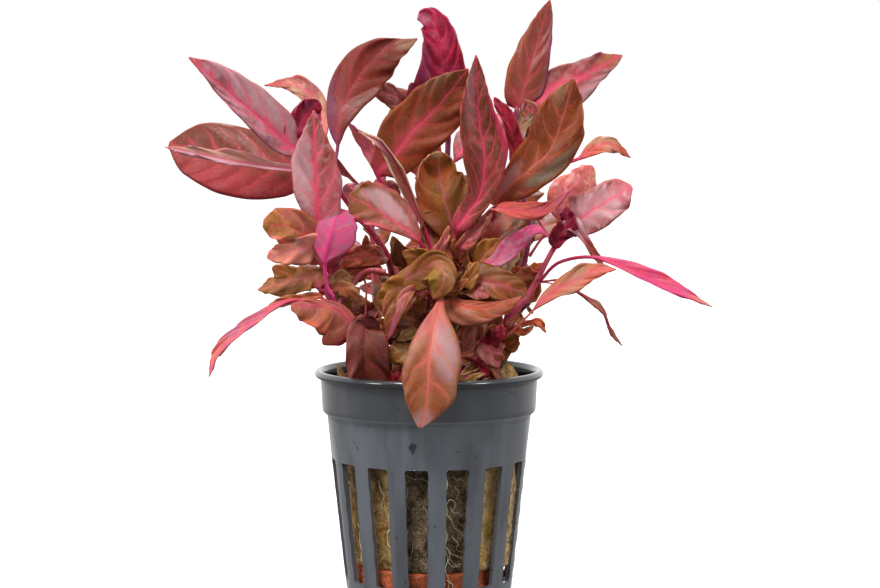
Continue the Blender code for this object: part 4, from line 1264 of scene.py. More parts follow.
def leaf_finish(name, look, length, veins, shape):
    """The two faces of a leaf in the colours and words of its look."""
    finish = Finish(name)
    colour_of = {part: COLOURS[look[part]] for part in PARTS}
    stalk_colour, clear = COLOURS[look["stalk"]], look["clear"]
    # Where on the leaf a point is, and clouds that unsettle every line.
    spot_x, spot_y, _ = finish.split(finish.add("ShaderNodeUVMap", {"uv_map": "leaf"}))
    below = spot_x > 0.5 * UNDER_SHIFT
    along = spot_x - below * UNDER_SHIFT
    blade = finish.reckon("MAXIMUM", along, 0.0)
    side = abs(spot_y)
    half = finish.add("ShaderNodeAttribute", {"attribute_name": "half_width"}, out="Fac")
    mood = finish.add("ShaderNodeAttribute", {"attribute_name": "mood"}, out="Fac")
    off_rib = side * half
    off_edge = (1 - side) * half
    place = finish.place()
    slow = finish.cloud(place, 5.0, 2.0)
    quick = finish.cloud(place, 1.3, 3.0, 0.6)
    fine = finish.cloud(place, 0.35, 2.0)

    # The side veins lie where the phase is whole. They fade here and there and near the margin.
    phase = blade ** VEIN_CROWDING * float(veins) + (spot_y > 0.0) * OTHER_SIDE_SHIFT + (slow - 0.5) * 0.8 \
        + (quick - 0.5) * 0.2
    pitch = length * (1.0 - shape["stalk"]) / veins
    gap = abs(finish.reckon("FRACT", phase + 0.5) - 0.5) * pitch
    reach = (1.15 - side * 0.8) * (1.1 - blade * 0.45) * look["vein_size"] * (0.7 + quick * 0.6)
    vein = 1 - finish.step(gap, 0.0, reach)
    glow = 1 - finish.step(gap, 0.0, reach * GLOW_REACH)
    fade = finish.step(finish.cloud(place, 3.0, 2.0), 0.34, 0.58) * 0.62 + 0.38
    inner = (1 - finish.step(side, 0.66, 0.98)) * finish.step(blade, 0.0, 0.06) * fade
    rib_reach = (1.15 - blade) * look["rib_size"] * (0.8 + quick * 0.4)
    rib = 1 - finish.step(off_rib, rib_reach * 0.2, rib_reach * 1.1)
    rib_glow = 1 - finish.step(off_rib, rib_reach * 0.5, rib_reach * GLOW_REACH)
    net_place = finish.add("ShaderNodeCombineXYZ", None, {0: blade * (length / NET_PITCH), 1: off_rib,
                                                          2: slow * 1.5 + spot_y})
    net = finish.dots(net_place, 1.0, "DISTANCE_TO_EDGE")
    net = (1 - finish.step(net, 0.0, 0.16)) * (1 - glow)

    # The upper face, from the ground up: two mottled colours, patches, tints, painted sheen, then the
    # veins.
    shift = (mood - EVEN_MOOD) * 0.5
    spots = finish.cloud(place, 3.0, 4.0, 0.65)
    patch = finish.step(spots + (0.5 - glow) * 0.2 - shift, 0.47, 0.63)
    colour = finish.lay(
        colour_of["blade"],
        (finish.step(slow + (quick - 0.5) * 0.6 + shift, 0.34, 0.66), colour_of["second"]),
        (patch * look["patchy"], colour_of["patch"]))
    # Each tint is a soft patch of colour; the haze tints are painted sheen.
    for tint, mid_along, mid_across, size_along, size_across, amount in look["tints"]:
        far = ((along - mid_along) / size_along) ** 2.0 + ((spot_y - mid_across) / size_across) ** 2.0
        soft = 1 - finish.step(far + (quick - 0.5) * 0.9 + (slow - 0.5) * 0.8, 0.2, 1.2)
        colour = finish.mix(soft * amount, colour, COLOURS[tint])
    # Painted sheen: pale patches of the haze colour between the veins, where light would gloss the blade.
    bloom = finish.step(finish.cloud(place, 2.2, 3.0, 0.55), 0.47, 0.66) * (1 - glow)
    edge = (1 - finish.step(off_edge, 0.1, 0.5)) * finish.step(blade, 0.04, 0.15)
    stalk = (1 - finish.step(along, -0.05, 0.1)) * STALK_SHARE
    colour = finish.lay(
        colour,
        (bloom * look["bloom"], COLOURS["painted_sheen_grey"]),
        (net * 0.16 * clear, colour_of["vein"]),
        (glow * inner * 0.4 * clear, colour_of["vein"]),
        (vein * inner * clear, colour_of["vein"]),
        (edge * look["edged"], colour_of["margin"]),
        (rib_glow * 0.36 * clear, colour_of["rib"]),
        (rib * min(clear + 0.15, 1.0), colour_of["rib"]),
        (stalk, stalk_colour))

    # The underside is plainer. Fine pale and dark grains lie over both faces.
    under = finish.lay(
        colour_of["under"],
        (finish.step(quick, 0.3, 0.7), colour_of["second"]),
        ((glow * 0.3 + vein * 0.4) * inner, colour_of["vein"]),
        (rib, colour_of["rib"]),
        (stalk, stalk_colour))
    colour = finish.lay(
        colour,
        (below * UNDER_SHARE, under),
        (finish.step(fine, 0.56, 0.8) * GRAIN_SHARE, COLOURS["cream"]),
        ((1 - finish.step(fine, 0.25, 0.42)) * GRAIN_SHARE, COLOURS["dark_maroon"]))
    colour = colour * ((mood * 0.5 + 0.75) * look["light"])

    roughness = SHEEN_ROUGHNESS + (quick - 0.5) * 0.22 + below * 0.1 - vein * 0.04 - bloom * 0.06
    height = (glow * 0.4 - vein * 0.4) * inner + net * -0.2 + fine * 0.2 + quick * 0.45 + spots * 0.3
    finish.dress(colour, roughness, height, depth=0.13, strength=0.5)
    finish.flesh(0.22, (1.0, 0.35, 0.3), 0.9)
    finish.feed(finish.shader.inputs["Specular IOR Level"], SHEEN)
    return finish.owner


def palette(names, **more):
    """A look: the colours of a leaf's seven parts, in their order, and any further words."""
    return {**dict(zip(PARTS, names.split())), **more}


# A family's bloom is its share of painted sheen.
FAMILIES = {
    "grey_pink": palette("grey_mauve dusty_rose brown hot_pink hot_pink soft_red lilac", bloom=0.35),
    "brown_red": palette("red_brown rust olive_brown soft_red soft_red soft_red dusty_rose"),
    "olive": palette("orange_brown olive olive_brown salmon pink orange_brown tan"),
    "magenta": palette("magenta crimson dark_magenta pink hot_pink crimson mauve"),
    "coral": palette("salmon orange orange_brown peach hot_pink soft_red peach"),
    "maroon": palette("maroon red_brown dark_maroon soft_red dusty_rose crimson purple"),
}
print("leaf families:", ", ".join(FAMILIES))

# %% [markdown]
# Every large leaf is a row of a list, and one function turns a row into a piece. It also notes
# the height at which the leaf sits, because the stem swells there.

# %% Grow a list of leaves
GROWN = {}


def grow(rows):
    """Makes every leaf of a list. Each row tells its node's name, its stem and the height it
    leaves it at, the points of its midrib, its width, the way its upper face looks, its family,
    the words of its shape and those of its look."""
    for name, stem, height, rib, width, face, family, shape, look in rows:
        shape = {**PLAIN_SHAPE, **shape}
        look = {**PLAIN_LOOK, **FAMILIES[family], **look}
        sheet = leaf_sheet(leaf_line(stem, height, rib), width, face, shape, name)
        material = leaf_finish(name + "_finish", look, sheet["length"], sheet["veins"], shape)
        make_leaves(name + "_blade", [sheet], [EVEN_MOOD], material, "leaf_" + family, [name])
        GROWN.setdefault(stem, []).append(height)
    print("leaves grown:", len(rows))


# %% [markdown]
# The leaves on the left
#
# Most of these leaves grow from the two left-hand stems. Across is positive on the left-hand
# half of a leaf, for an eye that looks at its upper face and along it towards the tip.

# %% Grow the left-hand leaves
grow((
    ("leaf_left_top", "stem_high_left", 101.5, ((-31, -9.5, 102.2), (-37.1, -13, 108), (-44.9, -17, 114.9),
     (-52.5, -20, 121.8)), 10.2, (0.2, -1, 0.5), "grey_pink",
     dict(fold=8, quilt=0.55, ripple=0.4, veins=6, left="20 58 75 82 84 79 66 46 28 15 3",
     right="35 85 110 117 119 117 107 93 74 42 3"),
     dict(second="lilac", patchy=0.2, vein_size=0.62, rib_size=0.8, edged=0.8, clear=1, bloom=0.45,
     light=0.95, tints=(("soft_red", 1, 0, 0.22, 2, 0.75), ("painted_sheen_grey", 0.35, -0.55, 0.3, 0.5, 0.5)))),
    ("leaf_left_broad", "stem_high_left", 94, ((-29.3, -1.5, 96.6), (-40.9, 2, 98.7), (-50.4, 5, 100.5),
     (-60.2, 9, 102.2)), 17.2, (0, -1, 0.2), "brown_red",
     dict(stalk=0.14, curl=-10, quilt=0.22, ripple=0.14, warp=0.5, scallop=0, veins=6,
     left="40 72 88 99 105 106 104 94 80 60 8", right="25 45 62 75 81 85 87 85 74 50 8"),
     dict(blade="rust", second="red_brown", patch="brown", patchy=0.75, vein_size=0.75, clear=1, light=0.98,
     tints=(("crimson", 0.3, 0.75, 0.5, 0.45, 0.5), ("soft_red", 0.6, 0.6, 0.5, 0.5, 0.5),
     ("brown", 0.5, -0.75, 0.6, 0.7, 0.9)))),
    # Seen nearly edge-on, this leaf's pale lilac is partly its own colour and partly painted sheen.
    ("leaf_left_edge_on", "stem_high_left", 97.5, ((-31, -9, 97), (-44.5, -11.5, 99), (-59, -11, 102)), 4.6,
     (0, -1, 0.6), "grey_pink",
     dict(fold=35, quilt=0.1, ripple=0.8, waves=3.2),
     dict(blade="lilac", second="pale_lilac", patchy=0.2, clear=0.4,
     tints=(("beige", 0.6, -0.6, 0.6, 0.6, 0.7),))),
    ("leaf_left_upright", "stem_left", 82, ((-24.4, -16.5, 84), (-24.6, -19, 90.5), (-24.9, -21, 101.6),
     (-25.1, -22, 110.2)), 11, (-0.1, -1, 0.2), "grey_pink",
     dict(fold=6, veins=6, left="12 38 62 78 90 97 98 87 56 31 3",
     right="15 65 92 100 106 103 92 76 52 30 3"),
     dict(patchy=0.35, vein="pink", rib_size=0.8, clear=0.95, bloom=0.5, light=1.25,
     tints=(("painted_sheen_grey", 0.4, 0.6, 0.4, 0.7, 0.7), ("olive_brown", 0.95, 0, 0.22, 1.4, 0.7),
     ("rust", 0.5, -0.7, 0.3, 0.5, 0.5), ("pink", 0.2, -0.6, 0.25, 0.6, 0.5)))),
    ("leaf_left_cup", "stem_left", 68, ((-22.6, -16, 71.5), (-22.9, -18, 77.5), (-21.4, -19, 83.2),
     (-19.9, -18.5, 88.8)), 9.6, (0.3, 1, 0.3), "magenta",
     dict(stalk=0.44, curl=24, quilt=0.08, ripple=0, warp=0, veins=4,
     left="6 34 68 92 106 113 115 112 102 82 42", right="6 34 66 86 96 100 102 100 92 74 42"),
     dict(blade="dark_magenta", second="fuchsia", patchy=0.2, rib="fuchsia", stalk="fuchsia", clear=0.1,
     light=1.15, tints=(("mauve", 0.85, 0, 0.3, 1.5, 0.7),))),
    ("leaf_centre_left", "stem_centre", 75.5, ((-2.4, -12, 81.3), (-7.5, -13, 85.3), (-12.6, -13.5, 88.7),
     (-17.8, -13.5, 91.2)), 9.8, (-0.2, -1, 0.5), "brown_red",
     dict(stalk=0.3, curl=8, quilt=0.35, veins=5, left="10 20 32 44 56 70 83 94 97 80 15",
     right="10 40 70 95 110 118 122 120 110 85 15"),
     dict(blade="olive", second="dusty_rose", patchy=0.3, vein="pink", rib="hot_pink", rib_size=0.6,
     edged=0.6, clear=0.4, bloom=0.25, light=1.1, tints=(("olive", 0.9, 0.2, 0.4, 1.2, 0.7),
     ("painted_sheen_grey", 0.5, -0.4, 0.4, 0.4, 0.85), ("hot_pink", 0.4, 0.95, 0.5, 0.25, 0.6)))),
    ("leaf_left_wavy", "stem_left", 76, ((-25.9, -17, 81.2), (-30.5, -20, 84.6), (-36.3, -22, 85.6)), 8.6,
     (0, -1, 0.1), "brown_red",
     dict(stalk=0.05, curl=-14, ripple=0.8, waves=2, left="40 75 90 95 100 105 103 100 90 70 20",
     right="40 70 90 100 105 100 100 98 90 70 20"),
     dict(blade="orange_brown", second="tan", patchy=0.3, vein="salmon", clear=0.35, light=1.2,
     tints=(("dusty_rose", 0.45, -0.5, 0.3, 0.5, 0.6), ("salmon", 0.4, 0.95, 0.5, 0.3, 0.7)))),
    ("leaf_left_olive", "stem_left", 70.5, ((-25.5, -15, 73), (-29.5, -15, 72.6), (-38.4, -10, 69.9)), 7.6,
     (0, -0.8, 0.5), "olive",
     dict(curl=-34, ripple=0.9, waves=2.2, scallop=0.08, left="50 80 95 95 90 85 70 72 50 30 5",
     right="60 90 105 110 100 85 70 78 65 40 5"),
     dict(blade="olive", second="tan", patchy=0.5, clear=0.3, light=0.98,
     tints=(("orange_brown", 0.5, -1, 0.7, 0.3, 0.8), ("tan", 0.9, 0.5, 0.3, 0.8, 0.6)))),
    ("leaf_left_drooping", "stem_left", 66.3, ((-30, -18, 68.3), (-38.2, -22, 64.2), (-45.7, -26, 57.8),
     (-47.8, -29, 52.5)), 3.9, (-0.4, -0.7, 0.7), "magenta",
     dict(stalk=0.25, fold=20, quilt=0.1, widest=0.6),
     dict(blade="salmon", second="mauve", patchy=0.2, clear=0.4)),
    ("leaf_left_low", "stem_left", 62.5, ((-20.4, -16, 66), (-24, -18, 66.9), (-27, -20, 67.3),
     (-30.4, -21, 67.2)), 10, (0, -1, 0.3), "coral",
     dict(stalk=0.05, curl=-10, ripple=0.7, waves=2.4, scallop=0.05,
     left="90 135 165 150 120 115 130 115 90 60 20", right="15 25 30 32 32 32 30 30 26 20 10"),
     dict(blade="dusty_rose", second="terracotta", patchy=0.25, clear=0.35, light=1.15,
     tints=(("olive", 0.9, 0.8, 0.3, 0.5, 0.5), ("orange", 0.4, 0.9, 0.5, 0.3, 0.5)))),
    ("leaf_hanging_maroon", "stem_left", 59, ((-14.1, -13.5, 61.6), (-14.4, -15.5, 56.9),
     (-14.2, -14.5, 47.6)), 11.4, (0, -1, 0.1), "maroon",
     dict(stalk=0.04, fold_left=12, fold_right=30, curl=10, quilt=0.35, ripple=0.5, veins=4,
     left="5 30 62 85 97 102 106 108 102 85 35", right="5 35 62 78 85 88 86 82 75 60 35"),
     dict(blade="rust", second="brown", patch="brown", clear=0.3, light=0.78,
     tints=(("dusty_rose", 0.25, -0.7, 0.5, 0.6, 0.8), ("maroon", 0.6, 0.8, 0.5, 0.5, 0.5)))),
    ("leaf_hanging_folded", "stem_centre", 68.5, ((-5.1, -13, 70.4), (-7.5, -16, 65.3), (-9.1, -16, 59.2)),
     7, (-0.4, -1, 0.1), "brown_red",
     dict(fold=25),
     dict(blade="olive", second="brown", patchy=0.4, clear=0.35, light=1.25,
     tints=(("purple", 0.8, 0.5, 0.4, 0.6, 0.7),))),
    ("leaf_left_inner", "stem_high_left", 76.5, ((-11, -7, 77.3), (-15.9, -9, 77.1), (-20.5, -10, 74.7)),
     5.4, (0, -1, 0.3), "brown_red",
     dict(fold=10, ripple=0.7),
     dict(blade="orange_brown", second="salmon", patchy=0.4, clear=0.3, light=1.05)),
    ("leaf_young_crumpled", "stem_high_left", 103.6, ((-30, -8, 104), (-28, -8, 108.5), (-24.6, -8, 112.2)),
     7.6, (0.3, -1, 0), "magenta",
     dict(stalk=0.04, curl=30, quilt=0.5, ripple=0.9, waves=2.9, warp=1, uneven=0.16, tip=0.5, base=0.5,
     veins=4),
     dict(blade="crimson", second="dark_magenta", clear=0.3, light=0.95,
     tints=(("mauve", 0.6, -0.5, 0.2, 0.3, 0.5), ("purple", 0.8, 0.4, 0.2, 0.4, 0.5)))),
    ("leaf_behind_left", "stem_high_left", 98.5, ((-24, 6, 103.5), (-25.9, 11, 111.5), (-31.3, 13.5, 116),
     (-38.5, 16, 115.8)), 5.2, (-0.2, -0.8, 0.7), "coral",
     dict(stalk=0.3, quilt=0.1),
     dict(blade="beige", second="dusty_rose", patchy=0.1, clear=0.3, light=1.12,
     tints=(("red_brown", 1, 0, 0.2, 2, 0.8),))),
    ("leaf_behind_strip", "stem_high_left", 84.5, ((-11, 4, 93), (-13.2, 7.5, 100), (-19, 10, 107.5)), 4,
     (0.4, -1, 0.3), "coral",
     dict(stalk=0.3), dict(blade="pink", second="mauve", clear=0.3)),
))

# %% [markdown]
# The leaves in the middle
#
# The tall leaves at the top stand in one plane behind the others, and one leaf hangs down over
# the rim in front. That front leaf is nearest to the eye, so its veins are the clearest.

# %% Grow the middle leaves
grow((
    ("leaf_front_drooping", "stem_centre", 67, ((2.7, -16, 69), (1.2, -22, 63.8), (0.1, -27, 55.9),
     (-0.3, -29, 48.5), (-1.9, -29, 41.2)), 12.6, (0.1, -1, 0.5), "brown_red",
     dict(stalk=0.26, fold=4, curl=-8, ripple=0.25, warp=0.5, veins=4,
     left="10 24 58 85 103 110 110 103 88 52 6", right="10 14 30 50 69 82 89 90 78 50 6"),
     dict(blade="terracotta", second="tan", patchy=0.3, vein="salmon", vein_size=0.85, rib="salmon",
     rib_size=1.05, margin="salmon", stalk="soft_red", clear=0.85, bloom=0.1, light=0.81,
     tints=(("painted_sheen_grey", 0.3, 0.45, 0.3, 0.5, 0.7), ("painted_sheen_grey", 0.97, 0, 0.14, 2, 0.7),
     ("orange_brown", 0.65, -0.5, 0.3, 0.5, 0.5), ("pink", 0.12, -0.2, 0.2, 0.9, 0.5),
     ("orange_brown", 0.7, 0.5, 0.2, 0.4, 0.4)))),
    ("leaf_centre_arching", "stem_centre", 73, ((-6.9, -12, 71.6), (-3.1, -14, 73.8), (1.6, -16, 76.2),
     (3.4, -19, 72.8), (1, -19, 68.6)), 8.6, (0, -1, 0.25), "olive",
     dict(stalk=0.3, curl=-8, ripple=0.6, left="30 45 55 62 66 70 72 70 60 40 5",
     right="30 60 85 100 112 120 120 110 90 60 5"),
     dict(blade="tan", patchy=0.3, stalk="tan", clear=0.15, light=0.84,
     tints=(("yellow_olive", 0.6, -0.7, 0.4, 0.6, 0.7), ("orange_brown", 0.3, 0.3, 0.3, 0.6, 0.5)))),
    ("leaf_top_left", "stem_high_left", 95.5, ((-20.9, 0.5, 101), (-20.5, 2, 107.7), (-18.6, 4, 113.6),
     (-15, 5, 119.5), (-10.2, 4, 123.6), (-2.7, 1.5, 126.3)), 11, (-0.2, -1, 0.1), "brown_red",
     dict(stalk=0.2, quilt=0.35, ripple=0.5, warp=0.8, veins=6, left="10 38 62 78 92 100 92 72 45 20 3",
     right="10 30 60 85 105 112 110 100 80 45 3"),
     dict(patchy=0.4, vein_size=0.55, stalk="purple", clear=0.5, light=0.72,
     tints=(("beige", 0.97, 0, 0.17, 2, 0.9), ("purple", 0.06, 0.6, 0.2, 0.7, 0.8),
     ("soft_red", 0.5, 0.3, 0.4, 0.8, 0.3)))),
    ("leaf_top_centre", "stem_pink", 82, ((-0.5, 0.8, 86), (-11.4, 0.6, 94.2), (-8.2, 0.5, 99.2),
     (-4.3, 0.5, 104.6), (0.5, -1, 109.3), (5.1, -4, 114.8), (8.8, -7, 119.4)), 13.4, (0.1, -1, 0.2),
     "olive",
     dict(stalk=0.42, ripple=0.6, warp=0.8, veins=6, left="15 62 86 97 100 100 98 88 68 40 3",
     right="10 55 80 92 97 100 102 92 72 40 3"),
     dict(second="rust", patchy=0.5, vein="soft_red", rib="hot_pink", rib_size=0.85, clear=0.5, bloom=0.04,
     light=0.88, tints=(("grey_olive", 0.75, 0.8, 0.3, 0.4, 0.5), ("rust", 0.4, -0.9, 0.4, 0.5, 0.5),
     ("olive_brown", 0.8, 0.2, 0.25, 0.5, 0.6), ("soft_red", 0.3, 0, 0.3, 0.4, 0.35)))),
    ("leaf_folded_long", "stem_centre", 77, ((-2, -9, 86.5), (-6.5, -9.5, 96.8), (-10.5, -9.5, 102.5),
     (-15.8, -9, 105.5)), 4, (-0.7, -0.8, 0.4), "coral",
     dict(stalk=0.2, fold=40, quilt=0.1),
     dict(blade="brown", second="dusty_rose", patchy=0.4, margin="cream", edged=0.9, under="red_brown",
     clear=0.3, bloom=0.15, tints=(("mauve", 0.75, 0.3, 0.2, 0.7, 0.7),))),
    ("leaf_centre_upright", "stem_pink", 81, ((6.4, -9.6, 83.6), (8.6, -10, 87), (11.5, -11, 91.8),
     (12.4, -13, 100.3), (11.1, -15, 108.5), (10.4, -20, 122.3)), 9.9, (-0.1, -1, 0), "grey_pink",
     dict(stalk=0.08, fold=12, veins=9, left="20 50 55 65 88 97 92 82 63 36 3",
     right="20 50 60 75 100 112 100 76 54 32 3"),
     dict(blade="dusty_rose", second="red_brown", patch="olive_brown", patchy=0.9, vein_size=0.42,
     rib_size=0.55, clear=0.75, bloom=0.08, light=1.15, tints=(("magenta", 0.42, -0.95, 0.25, 0.25, 0.8),
     ("painted_sheen_grey", 0.75, 0.6, 0.3, 0.5, 0.3), ("brown", 0.25, 0.2, 0.2, 0.7, 0.8)))),
    ("leaf_top_crinkled", "stem_back", 103.5, ((2, 12, 112.4), (2.7, 9, 116.4), (3, 8, 119.5),
     (2.8, 7, 122.7), (2.2, 6.5, 127), (0.2, 6, 130.9), (-2.5, 5, 131.8)), 14.2, (0.1, -1, 0), "magenta",
     dict(stalk=0.2, fold=12, quilt=0.5, ripple=0.7, waves=3.4, warp=0.8,
     left="30 75 100 102 95 84 70 58 50 42 15", right="30 70 100 104 95 80 68 60 52 40 15"),
     dict(patchy=0.7, clear=0.3, light=1.1, tints=(("purple", 0.25, 0.7, 0.3, 0.5, 0.7),
     ("mauve", 0.97, 0.3, 0.1, 0.8, 0.8)))),
    ("leaf_cupped_olive", "stem_pink", 79.5, ((5.4, -7.5, 83.6), (3.6, -8.5, 90), (2.4, -7.5, 96),
     (2.2, -9.5, 101)), 13, (-0.1, -1, 0.2), "olive",
     dict(stalk=0.05, curl=24, quilt=0.5, ripple=0.8, warp=1, tip=0.5, base=0.7),
     dict(blade="olive", second="orange_brown", patchy=0.5, vein="tan", margin="beige", under="olive",
     clear=0.2, bloom=0, light=1.08, tints=(("rust", 0.3, 0.8, 0.4, 0.4, 0.5),
     ("pale_green", 1, 0.2, 0.08, 1, 0.6), ("olive_brown", 0.3, -0.5, 0.4, 0.4, 0.5)))),
    ("leaf_low_curled", "stem_pink", 66, ((11, -9.5, 66.5), (10, -13.5, 61.5), (7.6, -14, 55.8)), 6,
     (0.3, -1, 0), "brown_red",
     dict(curl=30, quilt=0.5, ripple=0.9),
     dict(blade="dusty_rose", second="brown", patchy=0.7, clear=0.3)),
    ("leaf_front_coral", "stem_centre", 65, ((3.6, -14, 67.7), (8.8, -18, 66.9), (15.2, -18, 66.9),
     (20.7, -17, 69)), 6.4, (0, -0.9, 0.6), "coral",
     dict(curl_right=-40, ripple=0.4, left="20 35 45 50 50 50 48 42 35 22 3",
     right="20 60 90 110 130 140 135 115 80 45 3"),
     dict(blade="orange_brown", second="terracotta", patchy=0.3, rib="coral", stalk="coral", clear=0.4,
     light=0.82, tints=(("coral", 0.4, 0, 0.5, 0.3, 0.4), ("peach", 0.35, -0.9, 0.2, 0.3, 0.5)))),
    ("leaf_front_orange", "stem_pink", 70.5, ((7.8, -11, 71.7), (12.6, -13, 71.8), (17.4, -14, 70.9),
     (22.1, -13.5, 69.2)), 9.6, (0, -1, 0.3), "olive",
     dict(stalk=0.06, quilt=0.25, tip=0.65, base=0.65),
     dict(patchy=0.2, clear=0.35, light=0.72, tints=(("olive", 0.5, 0.8, 0.5, 0.5, 0.7),
     ("coral", 0.5, 0, 0.4, 0.3, 0.25)))),
))

# %% [markdown]
# The leaves on the right
#
# These leaves are younger and brighter. Two of them are narrow and long, and one has withered to
# a thin brown strap with two swollen places.

